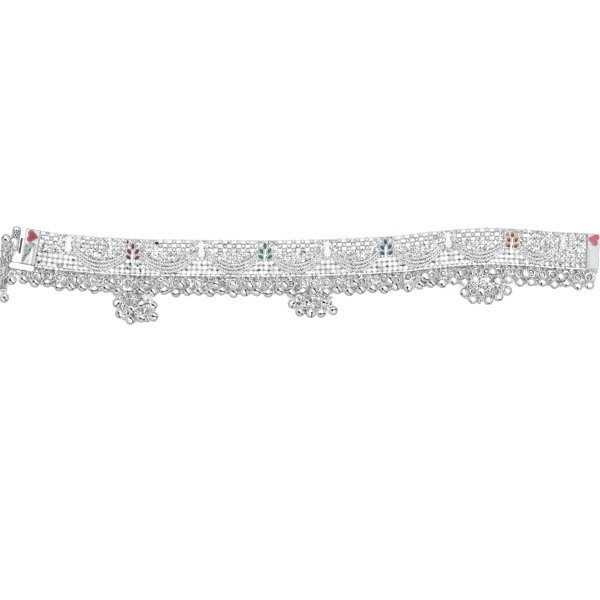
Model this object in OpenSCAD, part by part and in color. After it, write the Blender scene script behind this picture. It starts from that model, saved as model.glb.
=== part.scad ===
// Ghungroo payal: a broad silver anklet lying flat and unfastened, face up.
// X runs along the band, Y across it towards its plain edge, Z up from the surface that it lies on.

/* [Band] */
// Width of the link fabric, rim to rim
band_w = 16.2; // [14:0.1:18]
// Thickness of the link fabric
band_t = 1.8; // [1.4:0.1:2.2]
// Width of the rim wire on each edge
rim_w = 0.6; // [0.4:0.1:0.9]
// How far rims and swags stand above the fabric
relief = 0.35; // [0.2:0.05:0.5]
// Left end of the fabric
band_left = -116.8; // [-117:0.1:-116]
// Right end of the fabric
band_right = 124.1; // [123:0.1:125]

/* [Swags] */
// Width of a swag of twisted wires at its lowest point
swag_w = 4.9; // [3:0.1:5.5]
// Width of a swag where it meets a motif
swag_end_w = 3.2; // [2:0.1:4]
// Height of a swag's middle line above the band's centre line at a motif
swag_top = 2.0; // [0:0.1:3]
// Depth of a swag's middle line under the centre line halfway between motifs
swag_dip = 4.6; // [3:0.1:5]

/* [End plates and clasp] */
// Width along the band of the left trough plate
trough_plate_w = 6.0; // [5:0.1:6]
// Width along the band of the clasp box's plate
box_plate_w = 4.4; // [4:0.1:5]
// Width along the band of the right trough plate
right_plate_w = 5.3; // [5:0.1:6]
// Thickness of the plates
plate_t = 2.4; // [2.2:0.1:3]
// Width of the hollow trough in a plate's face
trough_w = 4.2; // [3:0.1:4.5]
// Depth of the trough
trough_depth = 0.7; // [0.3:0.1:1]
// Length of the clasp slot across the band
slot_len = 6.8; // [6.6:0.1:8]
// Width of the clasp slot
slot_w = 1.0; // [0.9:0.1:1.3]
// Thickness of the clasp box's back under the slot
slot_floor = 0.5; // [0.3:0.1:1]
// Width of the smooth lip along the plates' lower ends
lip_w = 2.5; // [2:0.1:3]
// Length of the lip
lip_len = 11.2; // [10:0.1:11.4]
// Thickness of the lip
lip_t = 1.2; // [0.8:0.1:1.4]
// Diameter of the knurled grip
grip_d = 3.8; // [3:0.1:4]
// Length of the knurled grip
grip_len = 10.6; // [8:0.1:11]
// Width of the clasp tongue across the band
tongue_w = 6.2; // [5:0.1:6.4]
// Thickness of the clasp tongue
tongue_t = 0.8; // [0.5:0.1:0.8]
// Length of the tongue outside the plate
tongue_out = 5.6; // [4:0.1:6]

/* [Enamel and white motifs] */
// Distance of a heart's lobes from its middle line
heart_lobe = 1.2; // [1:0.05:1.3]
// Thickness of the enamel hearts
heart_t = 0.5; // [0.3:0.1:0.8]
// Length of a leaf of the enamel motifs
leaf_len = 3.1; // [2.4:0.1:3.2]
// Width of a leaf
leaf_w = 1.6; // [1.2:0.1:1.9]
// Silver border round a leaf
leaf_border = 0.2; // [0.1:0.05:0.3]
// Thickness of the motifs' silver
motif_t = 0.7; // [0.5:0.1:1]
// Radius of a white motif's lower lobe
white_low_r = 1.9; // [1.5:0.1:2.1]
// Radius of a white motif's upper lobe
white_top_r = 1.65; // [1.3:0.1:1.8]

/* [Bells and rings] */
// Radius of a ghungroo bell
bell_r = 2.15; // [2:0.05:2.2]
// How far a bell's seam stands out
seam_out = 0.1; // [0.05:0.05:0.1]
// Width of a bell's seam
seam_w = 0.3; // [0.2:0.05:0.4]
// Width of the slit in a bell's mouth
slit_w = 0.45; // [0.3:0.05:0.6]
// Radius of the round hole at each end of a slit
slit_hole_r = 0.42; // [0.3:0.02:0.5]
// Half of the angle that a slit spans round the mouth
slit_angle = 48; // [40:2:55]
// How far a bell's mouth is turned up from its eye's line
mouth_lift = 50; // [0:5:60]
// How far a bell's mouth is turned aside
mouth_swing = 26; // [0:2:40]
// Radius of a bell's eye to the middle of its wire
eye_r = 0.6; // [0.5:0.05:0.7]
// Radius of the eye's wire
eye_wire_r = 0.22; // [0.15:0.01:0.25]
// Radius of a jump ring to the middle of its wire
ring_r = 1.3; // [1.2:0.05:1.4]
// Radius of a jump ring's wire
ring_wire_r = 0.27; // [0.2:0.01:0.3]

/* [Fringe] */
// Distance between the fringe's hanging points
fringe_pitch = 5.05; // [5.05:0.05:5.2]
// Clear gap between separate pieces
gap = 0.25; // [0.2:0.05:0.3]
// Width of the thread bar that the fringe hangs on
thread_w = 0.7; // [0.5:0.1:0.8]
// Distance from the band's edge to the middle of a jump ring
ring_drop = 3.1; // [3:0.1:3.2]
// Distance from the band's edge to a bell that lies over the rings
upper_drop = 3.4; // [3.3:0.1:3.5]

/* [Chains] */
// Diameter of the fine chain in a bunch
bunch_chain_d = 1.6; // [1.2:0.1:1.6]
// Diameter of the safety chain
safety_chain_d = 2.4; // [2:0.1:2.4]

/* [Hidden] */
$fn = 48;

// The band's centre line as it lies, seen from above.
// Columns: x, y
route = [
    [-128, 13.0], [-118, 11.3], [-112, 10.3], [-92, 8.4], [-71, 7.3], [-46, 7.0], [-15, 6.8],
    [11, 7.3], [42, 8.9], [55, 10.4], [68, 11.6], [82, 12.2], [95, 11.7], [113, 10.4],
    [129, 9.8], [136, 9.6]];

// Places of the motifs along the band. The white ones and the leaves take turns.
white_x = [-103.8, -45.1, 10.3, 63.6, 113.7];
leaf_x = [-75.2, -17.0, 36.2, 91.3];
// Height of the motifs' middle above the band's centre line
white_v = 3.6;
leaf_v = [2.15, 3.0, 3.2, 3.0];

// Leaves of one motif round its stem's top.
// Columns: x, y, turn from upright
leaves = [[-0.1, 2.55, 4], [-1.7, 0.2, 30], [1.8, 0.35, -30], [-1.95, -2.35, 54], [2.0, -2.4, -52]];

// Bells of the bunches, then the three at the clasp.
// Columns: x, y, direction of the eye from +Y, roll of the slit
bells = [
    [-82.0, -12.9, -60, 20], [-80.9, -17.5, -39, 70], [-75.7, -15.5, 10, 40],
    [-76.2, -20.2, 28, 15], [-71.4, -19.3, 25, 60], [-66.0, -18.8, 50, 35],
    [-71.2, -13.3, 50, 80], [-66.4, -14.0, 30, 25],
    [-5.0, -13.2, -45, 30], [-1.7, -16.7, 10, 65], [3.0, -17.3, -20, 20],
    [7.6, -17.1, 35, 75], [8.9, -12.5, 35, 45], [12.8, -16.1, 75, 30], [1.3, -12.9, -35, 55],
    [70.5, -8.2, -50, 40], [74.2, -11.1, -5, 70], [81.0, -11.6, 5, 25],
    [85.5, -10.0, 45, 60], [89.4, -7.5, 60, 30], [77.9, -7.5, 0, 50],
    [-131.0, 15.4, -160, 35], [-128.4, -2.8, 0, 60], [-131.6, -10.6, 12, 30]];

// The fringe's hanging points run from the clasp to the right plate. A bunch hangs midway
// between two of them.
fringe_start = -121.8;
// First and last hanging point of each fringe solid
fringe_spans = [[0, 8], [9, 25], [26, 39], [40, 49]];
// How far the bells hang under the band's edge, one after the other and over again
bell_drops = [6.4, 7.0, 6.1, 7.2, 6.6];
// One hanging point in this many also has a bell lying over the rings
upper_every = 3;

// Middle lines of the fine chains, from the band's edge over the fringe into each bunch.
// Columns: x, y, z
bunch_routes = [
    [[-78.9, -1.4, 1.5], [-78.9, -3.2, 3.6], [-78.9, -6.5, 4.7], [-78.6, -9.2, 3.8], [-78.0, -11.4, 2.2]],
    [[7.2, -1.9, 1.5], [7.2, -3.6, 3.6], [7.0, -6.9, 4.7], [6.4, -9.6, 3.9], [5.3, -11.6, 2.2]],
    [[77.7, 3.0, 1.5], [77.7, 1.6, 3.4], [77.7, -0.8, 4.7], [77.7, -3.4, 4.8]]];
safety_route = [[-129.4, 9.1, 1.4], [-131.3, 8.6, 1.6], [-132.6, 5.6, 1.4], [-133.0, 0, 1.3], [-132.6, -6.9, 1.3]];
// Cross sections along each stretch between two points of a chain's route
rings_per_stretch = 2;
chain_sides = 8;

// Sizes that follow from the ones above
band_edge = band_w / 2;
band_step = 5;
swag_steps = 14;
motif_z = band_t + relief + 0.1;
rim_depth = 0.8;
bell_z = bell_r + seam_out;
last_row = len(route) - 1;

// The end plates, measured from the fabric's ends along the band and from its centre line across it
trough_end = 2.0;
grip_u = -(trough_plate_w + box_plate_w);
grip_low = -2.4;
slot_u = -(trough_plate_w + 1.5);
pocket_depth = 2.6;
tongue_low = 0.8;
lip_left = -11;
lip_low = 2.15;
lip_over = 0.25;
heart_left_v = 4.9;
heart_right_v = 5.2;

// The fringe, measured down from the band's lower edge and up from the surface
thread_drop = gap + thread_w / 2;
thread_low = 1.0;
thread_high = 1.8;
// How far a thread bar runs past its last hanging point, which leaves room for a bunch's chain
thread_over = fringe_pitch / 2 - 1.3;
loop_w = 0.5;
// How far soldered wires reach into each other
bite = 0.1;
ring_z = 1.55;
upright_drop = 1.1;
upright_z = 2.35;
upper_z = 4.3;

function rise(i) = (route[i + 1].y - route[i].y) / (route[i + 1].x - route[i].x);
function route_slope(i) = i == 0 ? rise(0) : i == last_row ? rise(last_row - 1) : (rise(i - 1) + rise(i)) / 2;
function stretch_of(x) = max([for (i = [0:last_row - 1]) if (i == 0 || x >= route[i].x) i]);

// Height of the centre line at x: a cubic through the route's points with matching slopes
function band_y(x) =
    let (i = stretch_of(x), run = route[i + 1].x - route[i].x, t = (x - route[i].x) / run)
    route[i].y * (2 * t^3 - 3 * t^2 + 1) + route[i + 1].y * (3 * t^2 - 2 * t^3)
    + run * (route_slope(i) * (t^3 - 2 * t^2 + t) + route_slope(i + 1) * (t^3 - t^2));
function band_angle(x) = atan(band_y(x + 0.5) - band_y(x - 0.5));

// The point at distance v across the band from the centre line's point at x
function on_band(x, v) = let (a = band_angle(x)) [x - v * sin(a), band_y(x) + v * cos(a)];

function steps(from, to, size) = let (n = max(1, ceil((to - from) / size))) [for (i = [0:n]) from + (to - from) * i / n];
function reversed(list) = [for (i = [len(list) - 1:-1:0]) list[i]];

// A strip that follows the band between two distances from its centre line
module band_strip(x_from, x_to, v_low, v_high, z_low, z_high) {
    xs = steps(x_from, x_to, band_step);
    translate([0, 0, z_low]) linear_extrude(height = z_high - z_low)
        polygon(concat([for (x = xs) on_band(x, v_low)], [for (x = reversed(xs)) on_band(x, v_high)]));
}

// Places its children on the centre line at x, turned with the band
module on_line(x) {
    translate([x, band_y(x), 0]) rotate([0, 0, band_angle(x)]) children();
}

// Places its children on the band's lower edge at x, unturned, because the fringe hangs straight
module on_edge(x) {
    edge = on_band(x, -band_edge);
    translate([edge.x, edge.y, 0]) children();
}

// Share of the way from a motif to a swag's lowest point and back
function sag(t) = 1 - (2 * t - 1)^2;
function swag_v(t) = swag_top - (swag_top + swag_dip) * sag(t);
function swag_half(t) = (swag_end_w + (swag_w - swag_end_w) * sag(t)) / 2;

module swag(x_from, x_to) {
    ts = [for (i = [0:swag_steps]) i / swag_steps];
    translate([0, 0, band_t / 2]) linear_extrude(height = band_t / 2 + relief)
        polygon(concat(
            [for (t = ts) on_band(x_from + (x_to - x_from) * t, swag_v(t) - swag_half(t))],
            [for (t = reversed(ts)) on_band(x_from + (x_to - x_from) * t, swag_v(t) + swag_half(t))]));
}

module mesh_band() color([0.82, 0.83, 0.84]) {
    motif_half = 2;
    band_strip(band_left, band_right, -band_edge, band_edge, 0, band_t);
    for (side = [-1, 1]) {
        inner = side * (band_edge - rim_w);
        outer = side * band_edge;
        band_strip(band_left, band_right, min(inner, outer), max(inner, outer), rim_depth, band_t + relief);
    }
    for (i = [0:3]) {
        swag(white_x[i] + motif_half, leaf_x[i] - motif_half);
        swag(leaf_x[i] + motif_half, white_x[i + 1] - motif_half);
    }
}

// A plate's hollow trough, from its open lower edge up to the heart
module trough(u_middle, v_from, v_to) {
    r = trough_w^2 / (8 * trough_depth) + trough_depth / 2;
    translate([u_middle, v_to, plate_t + r - trough_depth]) rotate([90, 0, 0]) cylinder(h = v_to - v_from, r = r);
}

module at_left() {
    on_line(band_left - gap) children();
}

module at_right() {
    on_line(band_right + gap) children();
}

module end_plate_left() color([0.86, 0.86, 0.87]) at_left() {
    joint_w = 0.3;
    joint_depth = 0.5;
    difference() {
        union() {
            translate([-trough_plate_w, -band_edge, 0]) cube([trough_plate_w, band_w, plate_t]);
            translate([grip_u, -band_edge, 0]) cube([box_plate_w, band_w, plate_t + 0.2]);
        }
        trough(-trough_plate_w / 2, -band_edge - 1, trough_end);
        translate([-trough_plate_w - joint_w / 2, -band_edge - 1, plate_t - joint_depth])
            cube([joint_w, band_w + 2, 2 * joint_depth]);
        translate([slot_u - slot_w / 2, -slot_len / 2, slot_floor]) cube([slot_w, slot_len, plate_t + 1]);
        translate([grip_u, grip_low - gap, grip_d / 2]) rotate([-90, 0, 0])
            cylinder(h = band_w, d = grip_d + 2 * gap);
    }
    clasp_lip();
}

// A smooth strap with round ends, soldered over both plates' lower ends. The fringe passes under it.
module clasp_lip() {
    r = lip_w / 2;
    translate([lip_left, -band_edge + lip_over - r, lip_low]) {
        translate([r, -r, 0]) cube([lip_len - lip_w, lip_w, lip_t]);
        for (u = [r, lip_len - r]) translate([u, 0, 0]) cylinder(h = lip_t, r = r);
    }
}

// Turned profile with a blunt foot and a domed head
module knurled_grip() color([0.7, 0.7, 0.71]) at_left() {
    r = grip_d / 2;
    translate([grip_u, grip_low, r]) rotate([-90, 0, 0]) rotate_extrude()
        polygon([[0, 0], [r - 0.5, 0], [r, 0.5], [r, grip_len - 1.3], [r * 0.78, grip_len - 0.45],
            [r * 0.4, grip_len], [0, grip_len]]);
}

module end_plate_right() color([0.86, 0.86, 0.87]) at_right() difference() {
    half = band_edge - 0.2;
    translate([0, -half, 0]) cube([right_plate_w, 2 * half, plate_t]);
    trough(right_plate_w / 2, -half - 1, trough_end);
    translate([right_plate_w - pocket_depth, -tongue_w / 2 - gap / 2, tongue_low - gap / 2])
        cube([pocket_depth + 1, tongue_w + gap, tongue_t + gap]);
}

module clasp_tongue() color([0.8, 0.8, 0.81]) at_right() {
    corner = 1.2;
    start = right_plate_w - pocket_depth + gap;
    end = right_plate_w + tongue_out;
    translate([0, 0, tongue_low]) linear_extrude(height = tongue_t)
        polygon([[start, -tongue_w / 2], [end - corner, -tongue_w / 2], [end, corner - tongue_w / 2],
            [end, tongue_w / 2 - corner], [end - corner, tongue_w / 2], [start, tongue_w / 2]]);
}

// A heart whose point looks along +Y: two round lobes and the flanks that meet at the point
module heart() {
    lobe_r = heart_lobe + 0.2;
    point = 2.9;
    flank = 40;
    linear_extrude(height = heart_t) union() {
        for (side = [-1, 1]) translate([side * heart_lobe, -0.9]) circle(r = lobe_r);
        polygon([[0, point],
            [-heart_lobe - lobe_r * cos(flank), lobe_r * sin(flank) - 0.9],
            [-heart_lobe, -0.9], [heart_lobe, -0.9],
            [heart_lobe + lobe_r * cos(flank), lobe_r * sin(flank) - 0.9]]);
    }
}

module heart_left() color([0.72, 0.2, 0.32])
    at_left() translate([-trough_plate_w / 2 + 0.1, heart_left_v, plate_t + 0.1]) rotate([0, 0, -80]) heart();

module heart_right() color([0.75, 0.22, 0.32])
    at_right() translate([right_plate_w / 2 - 0.1, heart_right_v, plate_t + 0.1]) rotate([0, 0, 75]) heart();

// A pointed leaf: two circles that cross at its tips
module leaf_outline(length, width) {
    r = (length^2 + width^2) / (4 * width);
    shift = r - width / 2;
    intersection() {
        translate([-shift, 0]) circle(r = r);
        translate([shift, 0]) circle(r = r);
    }
}

// Five leaves whose twigs meet at one stem, all one casting with the enamel in its cells
module leaf_motif(n) {
    stem_w = 0.6;
    stem_foot = -4.6;
    stem_head = 1.6;
    twig = leaf_len / 2 + 1.2;
    enamel_rise = 0.15;
    on_line(leaf_x[n]) translate([0, leaf_v[n], motif_z]) {
        linear_extrude(height = motif_t) union() {
            translate([-stem_w / 2, stem_foot]) square([stem_w, stem_head - stem_foot]);
            for (leaf = leaves) translate([leaf.x, leaf.y]) rotate(leaf[2]) {
                leaf_outline(leaf_len + 2 * leaf_border, leaf_w + 2 * leaf_border);
                translate([-stem_w / 2, -twig]) square([stem_w, twig]);
            }
        }
        linear_extrude(height = motif_t + enamel_rise)
            for (leaf = leaves) translate([leaf.x, leaf.y]) rotate(leaf[2])
                leaf_outline(leaf_len, leaf_w);
    }
}

module leaf_motif_red() color([0.55, 0.12, 0.17]) leaf_motif(0);
module leaf_motif_green() color([0.12, 0.44, 0.31]) leaf_motif(1);
module leaf_motif_blue() color([0.12, 0.31, 0.48]) leaf_motif(2);
module leaf_motif_orange() color([0.85, 0.5, 0.2]) leaf_motif(3);

// Two frosted lobes, one over the other, joined by a short neck
module white_motif(n) color([0.95, 0.95, 0.95]) {
    neck_w = 1.6;
    low_y = -2.0;
    top_y = 2.35;
    on_line(white_x[n - 1]) translate([0, white_v, motif_z]) linear_extrude(height = motif_t) union() {
        translate([0, top_y]) circle(r = white_top_r);
        translate([0, low_y]) circle(r = white_low_r);
        translate([-neck_w / 2, low_y]) square([neck_w, top_y - low_y]);
    }
}

// A closed ring of round wire, lying flat
module wire_ring(r, wire_r) {
    rotate_extrude() translate([r, 0]) circle(r = wire_r, $fn = 24);
}

// A bell's globe with its seam. Its eye looks along +Y.
module globe() {
    sphere(r = bell_r);
    rotate([90, 0, 0]) cylinder(h = seam_w, r = bell_r + seam_out, center = true);
}

// A whole ghungroo bell: globe, slit mouth with a round hole at each end, and an upright eye
module ghungroo(roll) {
    notch_y = bell_r * cos(slit_angle);
    notch_half = bell_r * sin(slit_angle);
    hole_depth = 0.9;
    rotate([0, mouth_swing, 0]) rotate([-mouth_lift, 0, 0]) difference() {
        globe();
        rotate([0, -roll, 0]) {
            translate([-slit_w / 2, -bell_r - 1, -notch_half]) cube([slit_w, bell_r + 1 - notch_y, 2 * notch_half]);
            for (side = [-1, 1]) rotate([side * slit_angle, 0, 0]) translate([0, -bell_r + hole_depth, 0])
                rotate([90, 0, 0]) cylinder(h = 2, r = slit_hole_r);
        }
    }
    translate([0, bell_r + eye_r - bite, 0]) rotate([0, 90, 0]) wire_ring(eye_r, eye_wire_r);
}

module bell(n) color([0.84, 0.85, 0.86]) {
    row = bells[n - 1];
    translate([row.x, row.y, bell_z]) rotate([0, 0, row[2]]) ghungroo(row[3]);
}

function hang_x(i) = fringe_start + i * fringe_pitch;

// One hanging point: a loop on the thread, a jump ring lying flat, and a bell under it
module hanging_bell(i) {
    drop = bell_drops[i % len(bell_drops)];
    loop_end = ring_r - ring_drop - bite;
    neck_top = bite - ring_r - ring_drop;
    on_edge(hang_x(i)) {
        translate([-loop_w / 2, loop_end, thread_low + bite]) cube([loop_w, -thread_drop - loop_end, loop_w]);
        translate([0, -ring_drop, ring_z]) wire_ring(ring_r, ring_wire_r);
        translate([-loop_w / 2, -drop, ring_z - loop_w / 3]) cube([loop_w, neck_top + drop, loop_w]);
        translate([0, -drop, bell_z]) globe();
    }
}

// A bell that lies over the rings, on an upright ring round the thread
module upper_bell(i) {
    on_edge(hang_x(i + 0.5)) {
        translate([0, -thread_drop - upright_drop, upright_z]) rotate([0, 90, 0]) wire_ring(ring_r, ring_wire_r);
        translate([0, -upper_drop, upper_z]) globe();
    }
}

module fringe(n) color([0.78, 0.79, 0.8]) {
    span = fringe_spans[n - 1];
    thread_v = -band_edge - thread_drop;
    band_strip(hang_x(span[0]) - thread_over, hang_x(span[1]) + thread_over,
        thread_v - thread_w / 2, thread_v + thread_w / 2, thread_low, thread_high);
    for (i = [span[0]:span[1]]) hanging_bell(i);
    for (i = [span[0]:span[1] - 1]) if (i % upper_every == 1) upper_bell(i);
}

// A round tube swept along a route: a cross section square to the route at each of its points,
// and a flat cap at each end
function spline(p, i, t) =
    let (n = len(p) - 1, a = p[max(i - 1, 0)], b = p[i], c = p[i + 1], d = p[min(i + 2, n)])
    (2 * b + (c - a) * t + (2 * a - 5 * b + 4 * c - d) * t^2 + (3 * b - a - 3 * c + d) * t^3) / 2;
function unit(v) = v / norm(v);
module tube(points, d) {
    stretches = len(points) - 1;
    line = concat(
        [for (i = [0:stretches - 1]) for (k = [0:rings_per_stretch - 1]) spline(points, i, k / rings_per_stretch)],
        [points[stretches]]);
    last = len(line) - 1;
    verts = [for (i = [0:last])
        let (along = unit(line[min(i + 1, last)] - line[max(i - 1, 0)]),
            side = unit(cross(along, [1, 0, 0])), up = cross(side, along))
        for (k = [0:chain_sides - 1])
            line[i] + d / 2 * (cos(360 * k / chain_sides) * side + sin(360 * k / chain_sides) * up)];
    walls = [for (i = [0:last - 1]) for (k = [0:chain_sides - 1])
        let (a = i * chain_sides + k, b = i * chain_sides + (k + 1) % chain_sides)
        each [[a, a + chain_sides, b + chain_sides], [a, b + chain_sides, b]]];
    caps = [[for (k = [0:chain_sides - 1]) k], [for (k = [chain_sides - 1:-1:0]) last * chain_sides + k]];
    polyhedron(verts, concat(walls, caps));
}

module bunch_chain(n) color([0.75, 0.76, 0.77]) tube(bunch_routes[n - 1], bunch_chain_d);
module safety_chain() color([0.75, 0.76, 0.77]) tube(safety_route, safety_chain_d);

mesh_band();
end_plate_left();
knurled_grip();
end_plate_right();
clasp_tongue();
heart_left();
heart_right();
leaf_motif_red();
leaf_motif_green();
leaf_motif_blue();
leaf_motif_orange();
for (n = [1:5]) white_motif(n);
for (n = [1:4]) fringe(n);
for (n = [1:3]) bunch_chain(n);
safety_chain();
for (n = [1:len(bells)]) bell(n);
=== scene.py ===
"""A silver ghungroo payal that lies open and face up on a pale table.

X runs along the band from the clasp box to the tongue, Y across it towards the plain edge, and Z up from
the table. Lengths are metres, and MM turns millimetres into them. "v" is a distance across the band from its
centre line, "u" one along it from an end of the fabric, and a "shade" the share of black oxide, of painted
shade, or of a second colour.
"""

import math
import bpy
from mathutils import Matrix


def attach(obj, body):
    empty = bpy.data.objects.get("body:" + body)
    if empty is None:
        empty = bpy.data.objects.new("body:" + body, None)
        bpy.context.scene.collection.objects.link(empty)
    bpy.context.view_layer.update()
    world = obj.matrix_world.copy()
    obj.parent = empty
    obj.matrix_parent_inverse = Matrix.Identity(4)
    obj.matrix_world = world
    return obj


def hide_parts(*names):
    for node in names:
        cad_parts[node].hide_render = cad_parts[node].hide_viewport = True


bl_info = {
    "name": "Ghungroo Payal",
    "version": (1, 0, 0),
    "blender": (4, 5, 0),
    "location": "View3D > Sidebar > Payal",
    "description": "Builds a broad silver anklet: link fabric, wire swags, enamel leaves, bells and clasp",
    "category": "Add Mesh",
}

import bpy
import numpy as np
from mathutils import Vector

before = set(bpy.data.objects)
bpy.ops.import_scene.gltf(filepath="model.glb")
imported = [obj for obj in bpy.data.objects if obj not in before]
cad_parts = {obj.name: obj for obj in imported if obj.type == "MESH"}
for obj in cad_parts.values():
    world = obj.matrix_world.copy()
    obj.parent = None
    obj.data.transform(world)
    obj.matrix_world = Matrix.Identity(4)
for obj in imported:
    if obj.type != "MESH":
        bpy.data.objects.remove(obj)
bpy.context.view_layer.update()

MM = 0.001
UP = np.array([0.0, 0.0, 1.0])
ALONG = np.array([1.0, 0.0, 0.0])

# The band as it lies

# Columns: x, y of the centre line
ROUTE = MM * np.array(
    [[-128, 13.0], [-118, 11.3], [-112, 10.3], [-92, 8.4], [-71, 7.3], [-46, 7.0], [-15, 6.8],
     [11, 7.3], [42, 8.9], [55, 10.4], [68, 11.6], [82, 12.2], [95, 11.7], [113, 10.4],
     [129, 9.8], [136, 9.6]])
ROUTE_RISE = np.diff(ROUTE[:, 1]) / np.diff(ROUTE[:, 0])
ROUTE_SLOPE = np.concatenate([ROUTE_RISE[:1], (ROUTE_RISE[:-1] + ROUTE_RISE[1:]) / 2, ROUTE_RISE[-1:]])
BAND_LEFT = -116.8 * MM
BAND_RIGHT = 124.1 * MM
BAND_EDGE = 8.1 * MM
BAND_THICK = 1.8 * MM
# Between the fabric's ends and the plates
GAP = 0.25 * MM
# Least height of any point over the table
FLOOR_CLEAR = 0.01 * MM

# Motifs along the band. The white ones and the leaves take turns.
WHITE_X = MM * np.array([-103.8, -45.1, 10.3, 63.6, 113.7])
# How far the frosted white of each motif has dulled
WHITE_DULL = (0, 0.02, 0.02, 0.05, 0.14)
LEAF_X = MM * np.array([-75.2, -17.0, 36.2, 91.3])
MOTIF_X = np.sort(np.concatenate([WHITE_X, LEAF_X]))
WHITE_V = 3.6 * MM
# Their two lobes. Columns: y of the middle, half width and half height in mm, flutes
WHITE_LOBES = ((2.1, 1.8, 1.5, 5), (-1.55, 1.72, 2.1, 8))
LEAF_V = MM * np.array([2.15, 3.0, 3.2, 3.0])
# Height at which the motifs' faces start, and how far their castings reach down from it
MOTIF_Z = 2.25 * MM
MOTIF_SEAT = 0.65 * MM
LEAF_COLOURS = ["red", "green", "blue", "orange"]
# Share of a leaf's length at which its colour turns, with the mottling's half added
LEAF_TURN = {"red": 0.88, "green": 0.95, "blue": 0.75, "orange": 0.6}

# Leaves round the top of a motif's stem.
# Columns: x, y in mm, turn from upright in degrees
LEAVES = np.array([[-0.1, 2.55, 4], [-1.7, 0.2, 30], [1.8, 0.35, -30], [-1.95, -2.35, 54], [2.0, -2.4, -52]])
LEAF_HALF = 1.55 * MM
LEAF_WIDE = 0.82 * MM

# Swags: from a motif's middle to a swag's end, v of the middle line at its ends and halfway, with the sign
# turned, and the widths there
SWAG_MARGIN = 2 * MM
SWAG_TOP = 2.0 * MM
SWAG_DIP = 4.6 * MM
SWAG_WIDTH = 4.9 * MM
SWAG_END_WIDTH = 3.2 * MM
# Where the ropes and the wires between them run, in half widths from the middle line, and their heights
ROPE_OFFSETS = (-0.66, 0.0, 0.66)
ROPE_Z = 1.72 * MM
WIRE_OFFSETS = (-1.0, -0.33, 0.33, 1.0)
WIRE_Z = 1.68 * MM
# Half a rope's width as a share of half the swag's, half its height, how far its two ridges stand out, as a
# share of that section, and the oxide in its grooves
ROPE_WIDE = 0.27
ROPE_HIGH = 0.36 * MM
ROPE_RIDGE = 0.22
ROPE_OXIDE = 0.5
# Painted shade on the short stretches of plain wire between two ropes
SWAG_GAPS = (0.05, 0.3, 0.9)

# Fringe. Hanging point i is at FRINGE_START + i * FRINGE_PITCH. A drop is a distance under the band's edge.
FRINGE_START = -121.8 * MM
FRINGE_PITCH = 5.05 * MM
FRINGE_SPANS = [[0, 8], [9, 25], [26, 39], [40, 49]]
BELL_DROPS = MM * np.array([6.4, 7.0, 6.1, 7.2, 6.6])
RING_DROP = 3.1 * MM
RING_Z = 1.8 * MM
BELL_Z = 2.25 * MM
# Bells over the rings, and the upright rings that they hang on
UPPER_EVERY = 3
UPPER_DROP = 3.4 * MM
UPPER_Z = 4.3 * MM
UPRIGHT_DROP = 1.7 * MM
UPRIGHT_Z = 2.35 * MM
UPRIGHT_RADIUS = 1.3 * MM
# Middle and spread of the fringe bells' roll, which brings the slit's hole to the left
SLIT_ROLL = (-1.1, 0.45)
# How much further a mouth is turned up than its bell's eye goes down
MOUTH_LIFT = math.radians(50)
# How far a mouth is turned aside, the spread of that, and the step of its sine from one bell to the next
MOUTH_SWING = (math.radians(26), math.radians(8))
SWING_STEP = 5.7
# Stretch along the band over which the mouths turn down out of sight, how much of the lift that takes away,
# and how far a bell may be ahead of its place in it or behind, by a sine of its x in mm times a step
MOUTHS_DOWN = (40 * MM, 92 * MM)
MOUTH_FALL = 1.3
MOUTH_STRAY = 14 * MM
STRAY_STEP = 9.1
# Depth of a bell's slit and holes, half the height of the seam round it, and how far its eye is sunk in it
SLIT_DEPTH = 0.6 * MM
SEAM_HALF = 0.23 * MM
EYE_SUNK = 0.1 * MM

# Bells of the three bunches, then the three at the clasp.
# Columns: x, y in mm, direction of the eye from +Y and roll of the slit in degrees
BELLS = np.array(
    [[-82.0, -12.9, -60, 20], [-80.9, -17.5, -39, 70], [-75.7, -15.5, 10, 40],
     [-76.2, -20.2, 28, 15], [-71.4, -19.3, 25, 60], [-66.0, -18.8, 50, 35],
     [-71.2, -13.3, 50, 80], [-66.4, -14.0, 30, 25],
     [-5.0, -13.2, -45, 30], [-1.7, -16.7, 10, 65], [3.0, -17.3, -20, 20],
     [7.6, -17.1, 35, 75], [8.9, -12.5, 35, 45], [12.8, -16.1, 75, 30], [1.3, -12.9, -35, 55],
     [70.5, -8.2, -50, 40], [74.2, -11.1, -5, 70], [81.0, -11.6, 5, 25],
     [85.5, -10.0, 45, 60], [89.4, -7.5, 60, 30], [77.9, -7.5, 0, 50],
     [-131.0, 15.4, -160, 35], [-128.4, -2.8, 0, 60], [-131.6, -10.6, 12, 30]])
BUNCH_SPANS = [[0, 8], [8, 15], [15, 21]]
CLASP_SPAN = [21, 24]

# Middle lines of the fine chains.
# Columns: x, y, z in mm
BUNCH_ROUTES = [
    [[-78.9, -1.4, 1.5], [-78.9, -3.2, 3.6], [-78.9, -6.5, 4.7], [-78.6, -9.2, 3.8], [-78.0, -11.4, 2.2]],
    [[7.2, -1.9, 1.5], [7.2, -3.6, 3.6], [7.0, -6.9, 4.7], [6.4, -9.6, 3.9], [5.3, -11.6, 2.2]],
    [[77.7, 3.0, 1.5], [77.7, 1.6, 3.4], [77.7, -0.8, 4.7], [77.7, -3.4, 4.8]]]
SAFETY_ROUTE = [[-130.2, 13.0, 2.0], [-130.8, 10, 2.0], [-131.2, 6, 1.9], [-131.6, 2, 1.8], [-132.1, -3, 1.7],
                [-132.4, -7.4, 1.5]]
SAFETY_STRANDS = 7
SAFETY_TURNS = 1.6
# Half the width that the strands take up at the box and at the last bell
SAFETY_REACH = (2.3 * MM, 1.0 * MM)
SAFETY_RISE = 1.0 * MM
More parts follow.
